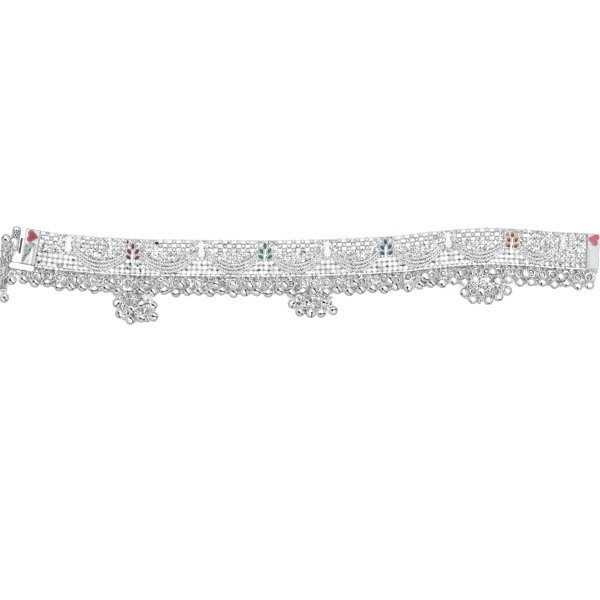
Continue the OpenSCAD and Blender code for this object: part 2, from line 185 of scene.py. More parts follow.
# Strands over the grip: from the box and its bell down to the bells under it
CLASP_STRANDS = [
    [[-126.6, 15.2, 4.3], [-127.6, 13.2, 4.35], [-129.2, 10.6, 3.9], [-130.4, 7.6, 3.0], [-130.9, 3.4, 2.7]],
    [[-127.0, 12.6, 4.3], [-128.0, 10.2, 4.3], [-129.0, 7.4, 3.2], [-129.4, 4.4, 1.6], [-128.8, 0.4, 1.6]],
    [[-126.4, 11.8, 4.3], [-127.0, 10.2, 4.4], [-127.7, 8.8, 4.2], [-128.5, 6.8, 2.8], [-129.9, 3.0, 1.8]],
    [[-128.4, 11.0, 4.3], [-128.9, 9.4, 4.0], [-129.5, 7.8, 3.4], [-130.3, 5.6, 2.6], [-131.0, 2.0, 2.0]],
    [[-128.4, 13.6, 4.1], [-129.8, 11.4, 3.6], [-131.2, 8.4, 3.2], [-131.9, 4.6, 3.0], [-132.3, 0.0, 2.8]],
    [[-129.0, 8.6, 1.0], [-128.7, 5.6, 1.0], [-129.2, 2.8, 1.0], [-131.4, -1.6, 1.1], [-131.7, -6.0, 1.2]],
    [[-128.8, 10.0, 1.6], [-129.2, 7.4, 1.8], [-129.6, 5.0, 1.6], [-130.2, 2.6, 1.2], [-131.2, 0.4, 1.0]]]
# Bells that hang end-on under the lip, greyed a little with painted shade.
# Columns: x, y, z in mm
LIP_CROWNS = [[-127.9, 0.9, 0.9], [-125.3, 0.9, 1.0]]
# Oval links: half the length, half the width and the radius of the wire
BUNCH_LINK = MM * np.array([1.0, 0.68, 0.2])
STRAND_LINK = MM * np.array([1.0, 0.72, 0.23])
SAFETY_LINK = MM * np.array([0.82, 0.58, 0.19])
CLASP_LINK = MM * np.array([0.9, 0.62, 0.2])
LOOSE_LINK = MM * np.array([0.88, 0.62, 0.21])
FRINGE_LINK = MM * np.array([0.9, 0.62, 0.22])
# Loose jump rings between the bells of a bunch, and the heights in mm that they lie at
LOOSE_RINGS = 9
LOOSE_RING_Z = (1.0, 3.6)
# Loose links tried for each layer of a bunch, and the layers, the lowest greyest with painted shade.
# Columns: lowest and highest place in mm, least and most painted shade
BUNCH_FILL = 120
BUNCH_LAYERS = ((0.35, 0.8, 0.35, 0.75), (0.9, 2.2, 0.05, 0.45), (2.2, 4.2, 0.0, 0.4))
# Where more loose links lie beside the end of a bunch's chain, from it in mm
BUNCH_CORNERS = ((-4.5, 2.5, 0), (4.5, 2.5, 0), (-2, 3.5, 0), (2, 3.5, 0))

# Small links round one hanging point of the fringe.
# Columns: x, drop under the edge and height in mm, turn from X and lean from flat in degrees
FRINGE_LINKS = np.array(
    [[-0.5, 0.7, 1.3, 70, 45], [0.8, 0.8, 1.3, 110, 45], [2.0, 1.0, 1.3, 20, 35], [3.1, 1.1, 1.2, 150, 35],
     [2.5, 2.2, 1.2, 80, 40], [2.6, 3.5, 1.0, 20, 35], [2.2, 4.7, 0.9, 60, 45], [-1.9, 1.6, 0.8, 45, 20]])
FRINGE_LINK_JITTER = np.array([0.35, 0.25, 0.1, 18, 12])
# Drops of the tie wires that the small links are threaded on, painted dark in stretches for the shade under
# the links, their height, and the length of a light and a dark stretch of them
TIE_DROPS = MM * np.array([0.35, 1.0, 1.65, 2.3])
TIE_Z = 0.42 * MM
TIE_PITCH = 2.9 * MM
# Links between each two bells, greyed with painted shade. Columns: drop under the edge, height and half
# length in mm
BETWEEN_BELLS = [[3.9, 1.3, 1.0], [5.3, 0.9, 1.1], [6.6, 0.6, 1.1]]
# Dome of the bell that hangs end-on in a jump ring
CROWN_RADIUS = 1.5 * MM
CROWN_Z = 0.9 * MM

# End plates, measured along the band from the fabric's ends and across it
TROUGH_PLATE_W = 6.0 * MM
BOX_PLATE_W = 4.4 * MM
RIGHT_PLATE_W = 5.3 * MM
PLATE_T = 2.4 * MM
BOX_T = 2.6 * MM
TROUGH_W = 4.2 * MM
TROUGH_DEPTH = 0.7 * MM
TROUGH_END = 2.0 * MM
# Edge of a plate, rounded off over this width
PLATE_ROUND = 0.25 * MM
# Slot in the box's face, its raised border, and the painted shade on the floor in it
SLOT_U = -7.5 * MM
SLOT_W = 0.8 * MM
SLOT_LEN = 6.8 * MM
SLOT_BORDER = 0.35 * MM
SLOT_BORDER_UP = 0.12 * MM
SLOT_FLOOR = 0.5 * MM
SLOT_SHADE = 0.95
# Ridge where the box plate meets the trough plate: how far from the trough plate's side, and how high
RIDGE_OFF = 0.6 * MM
RIDGE_UP = 0.2 * MM
# Left side of the bay for the grip
BAY_U = -8.3 * MM
# Tarnish in the left trough: where its edge starts in the plate, and how far it runs aside for each step down
STAIN_TOP = (-1.5 * MM, 1.0 * MM)
STAIN_LEAN = 0.48
# Depth and border of the right plate's trough
SUNK = 0.3 * MM
SUNK_EASE = 0.9 * MM
# Middle and lower end of the grip, its radius and its length
GRIP_U = -10.4 * MM
GRIP_LOW = -2.4 * MM
GRIP_R = 1.9 * MM
GRIP_LEN = 10.6 * MM
# Length of the grip's plain lower part, and the knurling's pits along the barrel and round it
GRIP_PLAIN = 4.7 * MM
KNURL_PITCH = 0.95 * MM
KNURL_AROUND = 10
KNURL_PIT = 0.4 * MM
# Smooth lip over both left plates' lower ends
LIP_LEFT = -11.0 * MM
LIP_LEN = 11.2 * MM
LIP_W = 2.5 * MM
LIP_T = 1.2 * MM
# Height of its underside, and how far it laps over the plates
LIP_LOW = 2.15 * MM
LIP_OVER = 0.25 * MM
# Dark seam in the plates above the lip: its upper side, from their lower edge, its depth and its oxide
SEAM = 0.75 * MM
SEAM_DEPTH = 0.3 * MM
SEAM_OXIDE = 0.5
# Tongue: width, thickness, length outside its plate, and height of its underside
TONGUE_W = 6.2 * MM
TONGUE_T = 0.8 * MM
TONGUE_OUT = 5.6 * MM
TONGUE_Z = 0.8 * MM


def band_y(x):
    """Height of the centre line at x: a cubic through the route's points with matching slopes."""
    i = np.clip(np.searchsorted(ROUTE[:, 0], x, side="right") - 1, 0, len(ROUTE) - 2)
    run = ROUTE[i + 1, 0] - ROUTE[i, 0]
    t = (x - ROUTE[i, 0]) / run
    points = ROUTE[i, 1] * (2 * t**3 - 3 * t**2 + 1) + ROUTE[i + 1, 1] * (3 * t**2 - 2 * t**3)
    slopes = ROUTE_SLOPE[i] * (t**3 - 2 * t**2 + t) + ROUTE_SLOPE[i + 1] * (t**3 - t**2)
    return points + run * slopes


def band_angle(x):
    """Direction of the centre line at x, from +X."""
    return np.arctan((band_y(x + MM / 2) - band_y(x - MM / 2)) / MM)


def on_band(x, v, z):
    """Points at distance v across the band from its centre line's point at x, at height z."""
    x, v, z = np.broadcast_arrays(np.asarray(x, float), v, z)
    angle = band_angle(x)
    return np.stack([x - v * np.sin(angle), band_y(x) + v * np.cos(angle), z], -1)


def band_axes(x):
    """Matrices whose columns point along the band, across it and up."""
    return turn(2, band_angle(np.asarray(x, float)))


def swag_share(x):
    """How far along its swag x is, 0 at one end and 1 at the other, and beyond them under the motifs."""
    i = np.clip(np.searchsorted(MOTIF_X, x) - 1, 0, len(MOTIF_X) - 2)
    start = MOTIF_X[i] + SWAG_MARGIN
    end = MOTIF_X[i + 1] - SWAG_MARGIN
    return (x - start) / (end - start)


def swag_line(t):
    """A swag's middle line and half its width: both follow a parabola that is 0 at the ends and 1 halfway."""
    sag = 1 - (2 * t - 1) ** 2
    middle = SWAG_TOP - (SWAG_TOP + SWAG_DIP) * sag
    half = (SWAG_END_WIDTH + (SWAG_WIDTH - SWAG_END_WIDTH) * sag) / 2
    return middle, half


# Shapes


class Shape:
    """Points, the quads and triangles over them, and a shade for each point that its material may read."""

    def __init__(self, points, quads, triangles=(), shade=0.0):
        self.points = np.reshape(np.asarray(points, float), (-1, 3))
        self.quads = np.reshape(np.asarray(quads, int), (-1, 4))
        self.triangles = np.reshape(np.asarray(triangles, int), (-1, 3))
        self.shade = np.broadcast_to(np.asarray(shade, float).ravel(), (len(self.points),))


def turn(axis, angle):
    """Matrices that turn by each angle about X, Y or Z (0, 1 or 2) by the right-hand rule."""
    angle = np.asarray(angle, float)
    first, second = (axis + 1) % 3, (axis + 2) % 3
    matrix = np.zeros(angle.shape + (3, 3))
    matrix[..., axis, axis] = 1
    matrix[..., first, first] = np.cos(angle)
    matrix[..., second, second] = np.cos(angle)
    matrix[..., first, second] = -np.sin(angle)
    matrix[..., second, first] = np.sin(angle)
    return matrix


def unit(vectors):
    """Vectors brought to length 1."""
    return vectors / np.linalg.norm(vectors, axis=-1, keepdims=True)


def eased(value):
    """0 below 0, 1 above 1, and 3t^2 - 2t^3 between them."""
    t = np.clip(value, 0, 1)
    return t * t * (3 - 2 * t)


def circle_angles(count):
    """Angles evenly round a circle, the last one short of the first."""
    return np.arange(count) * 2 * np.pi / count


def ringed(grid, start=None, end=None, closed=False, shade=0.0):
    """Skins a grid whose rows are closed rings, each joined to the next. The points start and end close the
    first and last ring, and closed joins the last ring to the first."""
    rows, cols = grid.shape[:2]
    row = np.arange(rows if closed else rows - 1)[:, None]
    col = np.arange(cols)[None, :]
    here = row * cols
    there = (row + 1) % rows * cols
    beside = (col + 1) % cols
    quads = np.stack([here + col, here + beside, there + beside, there + col], -1)
    points = grid.reshape(-1, 3)
    shade = np.broadcast_to(shade, (rows, cols)).ravel()
    triangles = np.zeros((0, 3), int)
    ring = np.arange(cols)
    after = (ring + 1) % cols
    if start is not None:
        triangles = np.stack([np.full(cols, len(points)), after, ring], -1)
        points = np.vstack([points, start])
        shade = np.append(shade, shade[0])
    if end is not None:
        last = (rows - 1) * cols
        fan = np.stack([np.full(cols, len(points)), last + ring, last + after], -1)
        triangles = np.vstack([triangles, fan])
        points = np.vstack([points, end])
        shade = np.append(shade, shade[rows * cols - 1])
    return Shape(points, quads, triangles, shade)


def oval(half_wide, half_high, sides):
    """Points round an ellipse, counter-clockwise."""
    angle = circle_angles(sides)
    return np.stack([half_wide * np.cos(angle), half_high * np.sin(angle)], -1)


def swept(path, outline, up=UP, closed=False, shade=0.0):
    """Carries a closed outline along a path: point = path + a * side + b * lift, where side is square to the
    path and to up, and lift is square to both. An outline may differ from one path point to the next."""
    if closed:
        along = unit(np.roll(path, -1, 0) - np.roll(path, 1, 0))
    else:
        along = unit(np.gradient(path, axis=0))
    side = unit(np.cross(up, along))
    lift = np.cross(along, side)
    outline = np.broadcast_to(outline, (len(path),) + np.shape(outline)[-2:])
    grid = path[:, None] + outline[..., :1] * side[:, None] + outline[..., 1:] * lift[:, None]
    if closed:
        return ringed(grid, closed=True, shade=shade)
    return ringed(grid, path[0], path[-1], shade=shade)


def wire_ring(half_long, half_wide, wire, around, sides):
    """Round wire along an ellipse that lies flat, its longer way along X."""
    angle = circle_angles(around)
    path = np.stack([half_long * np.cos(angle), half_wide * np.sin(angle), 0 * angle], -1)
    return swept(path, oval(wire, wire, sides), closed=True)


def copied(shape, places, axes, shade=None):
    """One copy of a shape at each place, turned and sized by the columns of that place's matrix. shade gives
    each copy its own value."""
    places = np.reshape(places, (-1, 3))
    count = len(places)
    axes = np.broadcast_to(axes, (count, 3, 3))
    points = np.einsum("nij,kj->nki", axes, shape.points) + places[:, None]
    step = (np.arange(count) * len(shape.points))[:, None, None]
    shades = np.tile(shape.shade, count) if shade is None else np.repeat(shade, len(shape.points))
    return Shape(points, shape.quads + step, shape.triangles + step, shades)


def joined(shapes):
    """Several shapes as one."""
    starts = np.cumsum([0] + [len(s.points) for s in shapes])
    return Shape(
        np.vstack([s.points for s in shapes]),
        np.vstack([s.quads + n for s, n in zip(shapes, starts)]),
        np.vstack([s.triangles + n for s, n in zip(shapes, starts)]),
        np.concatenate([s.shade for s in shapes]))


def moved(shape, place, axes=np.eye(3)):
    """A shape turned by a matrix and put at a place."""
    return copied(shape, [place], axes)


def at_band(shape, x, u=0.0, v=0.0, z=0.0, axes=np.eye(3)):
    """A shape in the frame of the band at x: u along it, v across it, z up."""
    base = band_axes(x)
    place = on_band(x, 0.0, 0.0) + base @ np.array([u, v, z])
    return moved(shape, place, base @ axes)


def domed(radii, profile, shade=0.0):
    """A raised form over a star-shaped outline: radii are the outline's distances at even angles, and each
    row of profile is a share of them with a height. The first and last rows close on the middle."""
    angle = circle_angles(len(radii))
    flat = np.stack([radii * np.cos(angle), radii * np.sin(angle)], -1)
    share, height = np.array(profile, float).T
    level = np.broadcast_to(height[:, None, None], (len(share), len(radii), 1))
    grid = np.concatenate([share[:, None, None] * flat, level], -1)
    return ringed(grid, [0, 0, height[0]], [0, 0, height[-1]], shade=shade)


def outlined(radii, height, wire, sides=6):
    """Round wire laid along a star-shaped outline at one height."""
    angle = circle_angles(len(radii))
    path = np.stack([radii * np.cos(angle), radii * np.sin(angle), np.full(len(radii), height)], -1)
    return swept(path, oval(wire, wire, sides), closed=True)


def circle_reach(angle, centre, radius):
    """Distance from the origin along each angle to where the ray leaves a circle, 0 where it misses it."""
    ray = np.stack([np.cos(angle), np.sin(angle)], -1)
    near = ray @ np.asarray(centre, float)
    inside = near**2 - np.dot(centre, centre) + radius**2
    return np.where(inside > 0, near + np.sqrt(np.maximum(inside, 0)), 0)


def slab(us, vs, top, bottom, keep):
    """A plate over a grid of u by v: top and bottom are its heights at the grid's points, and each cell that
    keep marks is there, with a wall wherever its neighbour isn't."""
    u, v = np.meshgrid(us, vs)
    cols, count = len(us), len(us) * len(vs)
    points = np.vstack([np.stack([u, v, level], -1).reshape(-1, 3) for level in (top, bottom)])
    i, j = np.nonzero(keep)
    a = i * cols + j
    b, c, d = a + 1, a + 1 + cols, a + cols
    faces = [np.stack([a, b, c, d], -1), np.stack([d, c, b, a], -1) + count]
    beside = np.pad(keep, 1)
    walls = [
        (beside[i + 1, j], d, a), (beside[i + 1, j + 2], b, c),
        (beside[i, j + 1], a, b), (beside[i + 2, j + 1], c, d)]
    for neighbour, first, second in walls:
        edge = ~neighbour
        f, s = first[edge], second[edge]
        faces.append(np.stack([s, f, f + count, s + count], -1))
    used, quads = np.unique(np.vstack(faces), return_inverse=True)
    return Shape(points[used], quads.reshape(-1, 4))


def add_piece(name, shape, material, nodes=(), crease=35):
    """Makes the mesh object of a shape, with its shade as a point attribute, and lets it stand for CAD nodes.
    Edges that turn by more than crease, in degrees, stay sharp."""
    mesh = bpy.data.meshes.new(name)
    loops = np.concatenate([shape.quads.ravel(), shape.triangles.ravel()])
    sizes = np.concatenate([np.full(len(shape.quads), 4), np.full(len(shape.triangles), 3)])
    mesh.vertices.add(len(shape.points))
    mesh.vertices.foreach_set("co", shape.points.astype(np.float32).ravel())
    mesh.loops.add(len(loops))
    mesh.loops.foreach_set("vertex_index", loops.astype(np.int32))
    mesh.polygons.add(len(sizes))
    mesh.polygons.foreach_set("loop_start", (np.cumsum(sizes) - sizes).astype(np.int32))
    mesh.polygons.foreach_set("use_smooth", np.ones(len(sizes), bool))
    mesh.update(calc_edges=True)
    if mesh.validate():
        raise RuntimeError(f"{name} has faces that aren't valid")
    mesh.attributes.new("shade", "FLOAT", "POINT").data.foreach_set("value", shape.shade.astype(np.float32))
    mesh.set_sharp_from_angle(angle=math.radians(crease))
    mesh.materials.append(material)
    piece = bpy.data.objects.new(name, mesh)
    bpy.context.scene.collection.objects.link(piece)
    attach(piece, "root")
    if nodes:
        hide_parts(*nodes)
    return piece


# Materials


def linear(text):
    """An sRGB hex colour as linear red, green and blue."""
    value = np.array([int(text[i:i + 2], 16) for i in (1, 3, 5)]) / 255
    curved = ((value + 0.055) / 1.055) ** 2.4
    return tuple(float(x) for x in np.where(value <= 0.04045, value / 12.92, curved))


def add_node(tree, kind, settings=None, inputs=None):
    """Adds a node. settings are its own values. inputs are values for its sockets, or what feeds them: a
    socket, or a node by its first output. A MapRange node clamps unless it is told otherwise."""
    node = tree.nodes.new(kind)
    for key, value in (settings or {}).items():
        setattr(node, key, value)
    for key, value in (inputs or {}).items():
        if isinstance(value, bpy.types.Node):
            value = value.outputs[0]
        if isinstance(value, bpy.types.NodeSocket):
            tree.links.new(value, node.inputs[key])
        else:
            node.inputs[key].default_value = value
    return node


# Sockets of the Mix node in its colour form
MIX_FACTOR, MIX_A, MIX_B, MIX_OUT = 0, 6, 7, 2
# Silver finishes by the names of their materials. Columns: bright colour, dull colour and the colour of oxide
# and painted shade, each as the name of a setting or as sRGB hex, roughness, size of the clouds and height of
# the scratches in mm, how metallic it is, and the share of black oxide and painted shade on it halfway
# through the fabric
SILVERS = {
    # Links and pads: mirror flats, black oxide and painted shade deep in the gaps and where the shade says
    "bright_cut_silver_links": ("silver", "dull_silver", "oxide", 0.24, 1.6, 0.006, 1.0, 0.08),
    # Tumbled wire: small soft highlights, and a little oxide or painted shade where the shade says
    "drawn_silver_wire": ("silver", "dull_silver", "oxide", 0.16, 2.4, 0.004, 1.0, 0.0),
    # Flattened wire, left from the tumbler: satin, without mirror flats
    "twisted_silver_rope": ("#eaecec", "#dadcdd", "oxide", 0.36, 2.0, 0.004, 1.0, 0.0),
    # Bar inside the fabric, painting the shade seen through the gaps: mid grey, clouded darker
    "silver_core_painted_shade": ("#d2d5d7", "#a0a3a5", "oxide", 0.4, 0.6, 0.02, 1.0, 0.0),
    # Plates: bright and only softly mirroring
    "planished_silver_sheet": ("silver", "dull_silver", "oxide", 0.28, 1.2, 0.01, 1.0, 0.0),
    # Rolled plate: an even pale grey with hardly a reflection
    "satin_silver_sheet": ("#cfd1d2", "#cacccd", "oxide", 0.5, 1.2, 0.006, 1.0, 0.0),
    # Barrel-polished bells: sharp highlights, and slits and holes painted near black for the shade inside
    "polished_stamped_silver": ("#f1f2f3", "#e4e5e6", "#101111", 0.19, 3.0, 0.004, 1.0, 0.0),
    # Castings of the leaves: nearly white and barely mirroring
    "bright_dipped_silver": ("#fbfbfc", "#f0f1f3", "oxide", 0.45, 0.5, 0.01, 0.5, 0.0),
    # Acid-whitened motifs: nearly white, without reflections, with a sugary grain
    "frosted_white_silver": ("#fafbfc", "#f1f3f5", "oxide", 0.6, 0.35, 0.03, 0.5, 0.0)}
# Distances from the middle of the fabric's thickness between which its oxide and painted shade come in
OXIDE_AND_SHADE_FROM = 0.62 * MM
OXIDE_AND_SHADE_TO = 0.15 * MM
# Light that the paper gives off, as the light table under it would
PAPER_GLOW = 0.3


def new_material(name):
    """An empty node material and its output node, or the finished material of that name and None."""
    material = bpy.data.materials.get(name)
    if material is not None:
        return material, None
    material = bpy.data.materials.new(name)
    material.use_nodes = True
    material.node_tree.nodes.clear()
    output = add_node(material.node_tree, "ShaderNodeOutputMaterial")
    return material, output


def silver_metal(name, finish):
    """Silver of one finish: bright metal clouded towards dull, with fine scratches from wear and tumbling,
    and with black oxide or painted shade where the shade attribute says, or in the links deep in the fabric
    too."""
    material, output = new_material(name)
    if output is None:
        return material
    *colours, rough, grain, scratch, metallic, deep_oxide_and_shade = SILVERS[name]
    bright, dull, oxide = (
        linear(colour) if colour.startswith("#") else getattr(finish, colour) for colour in colours)
    grain = grain * MM
    tree = material.node_tree
    place = add_node(tree, "ShaderNodeTexCoord").outputs["Object"]
    clouds = add_node(tree, "ShaderNodeTexNoise", inputs={"Vector": place, "Scale": 1 / grain, "Detail": 3.0})
    cloud_share = add_node(
        tree, "ShaderNodeMapRange",
        inputs={"Value": clouds, "From Min": 0.35, "From Max": 0.68})
    body = add_node(
        tree, "ShaderNodeMix", {"data_type": "RGBA"},
        {MIX_FACTOR: cloud_share, MIX_A: (*dull, 1), MIX_B: (*bright, 1)})
    shade = add_node(tree, "ShaderNodeAttribute", {"attribute_name": "shade"}).outputs["Fac"]
    # Black oxide and painted shade deep in the fabric: links darker near the middle of its thickness
    if deep_oxide_and_shade:
        height = add_node(tree, "ShaderNodeSeparateXYZ", inputs={0: place}).outputs["Z"]
        off_middle = add_node(
            tree, "ShaderNodeMath", {"operation": "SUBTRACT"}, {0: height, 1: BAND_THICK / 2})
        depth = add_node(tree, "ShaderNodeMath", {"operation": "ABSOLUTE"}, {0: off_middle})
        sunk = add_node(
            tree, "ShaderNodeMapRange",
            inputs={"Value": depth, "From Min": OXIDE_AND_SHADE_FROM, "From Max": OXIDE_AND_SHADE_TO, "To Max": deep_oxide_and_shade})
        shade = add_node(tree, "ShaderNodeMath", {"operation": "MAXIMUM"}, {0: sunk, 1: shade})
    colour = add_node(
        tree, "ShaderNodeMix", {"data_type": "RGBA"},
        {MIX_FACTOR: shade, MIX_A: body.outputs[MIX_OUT], MIX_B: (*oxide, 1)})
    fine = add_node(tree, "ShaderNodeTexNoise", inputs={"Vector": place, "Scale": 4 / grain, "Detail": 2.0})
    roughness = add_node(
        tree, "ShaderNodeMapRange",
        inputs={"Value": fine, "To Min": rough * 0.7, "To Max": rough * 1.3})
    bump = add_node(
        tree, "ShaderNodeBump", inputs={"Height": fine, "Distance": scratch * MM, "Strength": 1.0})
    shader = add_node(
        tree, "ShaderNodeBsdfPrincipled",
        inputs={"Base Color": colour.outputs[MIX_OUT], "Roughness": roughness,
                "Metallic": metallic, "Normal": bump})
    tree.links.new(shader.outputs[0], output.inputs["Surface"])
    return material


def enamel(name, base, tip, spark, turn_at, cell=0.7 * MM, sparkle=0.45):
    """Fired glass enamel over engraved silver: base colour that turns to the tip colour as the shade grows,
    mottled by the ground that shines through, under a clear fire-polished coat. cell is the size of the
    ground's cuts and sparkle how far they lighten the glass."""
    material, output = new_material(name)
    if output is None:
        return material
    tree = material.node_tree
    place = add_node(tree, "ShaderNodeTexCoord").outputs["Object"]
    shade = add_node(tree, "ShaderNodeAttribute", {"attribute_name": "shade"}).outputs["Fac"]
    ground = add_node(tree, "ShaderNodeTexVoronoi", inputs={"Vector": place, "Scale": 1 / cell})
    mottle = add_node(
        tree, "ShaderNodeTexNoise", inputs={"Vector": place, "Scale": 1 / (0.9 * MM), "Detail": 3.0})
    ragged = add_node(tree, "ShaderNodeMath", {"operation": "MULTIPLY_ADD"}, {0: mottle, 1: 0.35, 2: shade})
    along = add_node(
        tree, "ShaderNodeMapRange",
        inputs={"Value": ragged, "From Min": turn_at, "From Max": turn_at + 0.25})
    colour = add_node(
        tree, "ShaderNodeMix", {"data_type": "RGBA"},
        {MIX_FACTOR: along, MIX_A: (*base, 1), MIX_B: (*tip, 1)})
    glint = add_node(
        tree, "ShaderNodeMapRange",
        inputs={"Value": ground.outputs["Distance"], "From Min": 0.25, "From Max": 0.75, "To Max": sparkle})
    lit = add_node(
        tree, "ShaderNodeMix", {"data_type": "RGBA"},
        {MIX_FACTOR: glint, MIX_A: colour.outputs[MIX_OUT], MIX_B: (*spark, 1)})
    bump = add_node(
        tree, "ShaderNodeBump", inputs={"Height": mottle, "Distance": 0.08 * MM, "Strength": 0.6})
    shader = add_node(
        tree, "ShaderNodeBsdfPrincipled",
        inputs={"Base Color": lit.outputs[MIX_OUT], "Roughness": 0.3, "IOR": 1.5, "Coat Weight": 0.25,
                "Coat Roughness": 0.05, "Normal": bump})
    tree.links.new(shader.outputs[0], output.inputs["Surface"])
    return material


def paper(name, colour):
    """Matte white studio paper on a light table: almost even, with a faint tooth, lit a little from below."""
    material, output = new_material(name)
    if output is None:
        return material
    tree = material.node_tree
    place = add_node(tree, "ShaderNodeTexCoord").outputs["Object"]
    tooth = add_node(
        tree, "ShaderNodeTexNoise", inputs={"Vector": place, "Scale": 1 / (2 * MM), "Detail": 2.0})
    tone = add_node(
        tree, "ShaderNodeMix", {"data_type": "RGBA"},
        {MIX_FACTOR: tooth, MIX_A: (*(0.97 * part for part in colour), 1), MIX_B: (*colour, 1)})
    shader = add_node(
        tree, "ShaderNodeBsdfPrincipled",
        inputs={"Base Color": tone.outputs[MIX_OUT], "Roughness": 0.9, "Specular IOR Level": 0.1,
                "Emission Color": (1.0, 1.0, 1.0, 1), "Emission Strength": PAPER_GLOW})
    tree.links.new(shader.outputs[0], output.inputs["Surface"])
    return material


# Settings


def length_setting(name, description, default):
    """A length of the panel, in metres and shown to a hundredth of a millimetre."""
    return bpy.props.FloatProperty(
        name=name, description=description, default=default, unit="LENGTH", precision=5)


def colour_setting(name, description, text):
    """A colour of the panel, from sRGB hex."""
    return bpy.props.FloatVectorProperty(
        name=name, description=description, default=linear(text), subtype="COLOR")


class PayalFabric(bpy.types.PropertyGroup):
    """Sizes of the link fabric and its swags."""

    pitch: length_setting("Column spacing", "From one link to the next along the band", 2.02 * MM)
    row_pitch: length_setting("Row spacing", "From one row of links to the next across the band", 1.82 * MM)
    pad_width: length_setting("Pad width", "Width of a bright-cut pad across the band", 1.64 * MM)
    stud_radius: length_setting(
        "Round link radius", "Outer radius of a round link between two pads", 0.9 * MM)
    low_pitch: length_setting(
        "Lower column spacing", "From one pad to the next along the lower field", 2.25 * MM)
    low_row_pitch: length_setting(
        "Lower row spacing", "From one row of pads to the next in the lower field", 2.17 * MM)
    hatch: length_setting("Rope hatch", "Distance between the ridges of a swag's twisted wires", 1.12 * MM)


class PayalBells(bpy.types.PropertyGroup):
    """Sizes of the bells and of the rings that they hang on."""

    radius: length_setting("Bell radius", "Radius of a bell's globe", 2.15 * MM)
    seam_out: length_setting("Seam height", "How far the seam round the belly stands out", 0.1 * MM)
    slit_width: length_setting("Slit width", "Width of the slit in a bell's mouth", 0.38 * MM)
    slit_angle: bpy.props.FloatProperty(
        name="Slit reach", description="Angle from the middle of the mouth to the hole at a slit's end",
        default=math.radians(48), subtype="ANGLE")
    hole_radius: length_setting("Hole radius", "Radius of the round hole at a slit's end", 0.5 * MM)
    eye_radius: length_setting("Eye radius", "Radius of a bell's eye to the middle of its wire", 0.6 * MM)
    eye_wire: length_setting("Eye wire", "Radius of the wire of a bell's eye", 0.22 * MM)
    ring_radius: length_setting(
        "Jump ring radius", "Radius of a jump ring to the middle of its wire", 1.68 * MM)
    ring_wire: length_setting("Jump ring wire", "Radius of a jump ring's wire", 0.27 * MM)


class PayalFinish(bpy.types.PropertyGroup):
    """Colours of the metals and enamels."""

    silver: colour_setting("Silver", "Polished silver", "#fafafa")
    dull_silver: colour_setting("Dull silver", "Silver clouded by wear", "#e0e2e3")
    # This colour also paints shade: the dark of slits, holes, pits, gaps and low-lying links
    oxide: colour_setting("Oxide", "Black oxide left in the gaps", "#2c2e2e")
    heart: colour_setting("Heart enamel", "Deep red enamel of the hearts", "#7e2531")
    heart_light: colour_setting("Light heart enamel", "Thin, lighter enamel of the hearts", "#a54555")
    red: colour_setting("Red enamel", "Base of the red leaves", "#540a13")
    red_tip: colour_setting("Red leaf tips", "Tips of the red leaves", "#e07a20")
    green: colour_setting("Green enamel", "The green leaves", "#1b644e")
    green_tip: colour_setting("Green leaf tips", "Tips of the green leaves", "#2b8064")
    blue: colour_setting("Blue enamel", "Base of the blue leaves", "#123c52")
    blue_tip: colour_setting("Blue leaf tips", "Tips of the blue leaves", "#68b2cc")
    orange: colour_setting("Dark red enamel", "Base of the orange leaves", "#680e15")
    orange_tip: colour_setting("Orange leaf tips", "Tips of the orange leaves", "#da8f2c")


class PayalStage(bpy.types.PropertyGroup):
    """Floor, light and camera."""

    floor: colour_setting("Floor", "Colour of the paper", "#fafafa")
    sky: bpy.props.FloatProperty(
        name="Sky", description="Brightness of the tent overhead", default=1.26, min=0)
    horizon: bpy.props.FloatProperty(
        name="Horizon", description="Brightness of the tent near the table", default=0.52, min=0)
    box_power: bpy.props.FloatProperty(
        name="Soft box", description="Power of each soft box", default=1.2, min=0, unit="POWER")
    camera_height: bpy.props.FloatProperty(
        name="Camera height", description="From the table to the lens", default=1.2, unit="LENGTH")


# The link fabric

# Lower ends of the pads and of the round links
PAD_LOW = 0.2 * MM
STUD_LOW = 0.3 * MM
# Tops under a swag and in the open: pads, round links, and the short dark bars of painted shade beside these
PAD_TOPS = (1.25 * MM, 1.8 * MM)
STUD_TOPS = (1.2 * MM, 1.78 * MM)
BAR_TOPS = (1.1 * MM, 1.66 * MM)
BAR_SIZE = MM * np.array([0.42, 0.15, 0.14])
# Dark flecks of painted shade in the holes at the corners of the lower field's pads, and the beads under
# these
HOLE_Z = 1.4 * MM
HOLE_SIZE = MM * np.array([0.72, 0.45, 0.1])
UNDER_ROWS = 6
UNDER_SIZE = 0.5 * MM
# Pads of the irregular patches, and the layers of small links over them
FINE_TOP = 1.6 * MM
FINE_LAYERS = 3
SMALL_LINK = MM * np.array([0.5, 0.34, 0.17])
ROUND_LINK = MM * np.array([0.86, 0.8, 0.17])
# Half the width and height of the bar inside the fabric, its height over the table, and the wires over both
# its faces: v and height in mm
CORE_HALF = MM * np.array([7.6, 0.18])
CORE_Z = 1.16 * MM
CORE_WIRE_V = np.arange(-7.0, 7.1, 1.1)
CORE_WIRE_Z = (0.92, 1.36)
# From one link that a rim holds to the next, the rims' section, and the wire beside them
RIM_PITCH = 2.2 * MM
RIM_SECTION = np.array(
    [[1, -0.6], [1, 0.8], [0.8, 1], [-0.8, 1], [-1, 0.8], [-1, -0.6], [-0.6, -1], [0.6, -1]])
RIM_HIGH = 0.66 * MM
RIM_Z = 1.42 * MM
SEAT_HALF = MM * np.array([0.5, 0.2])
SEAT_Z = 1.3 * MM
# Painted shade that changes along the lower rim in short stretches
RIM_GAPS = (0.0, 0.05, 0.12, 0.6)
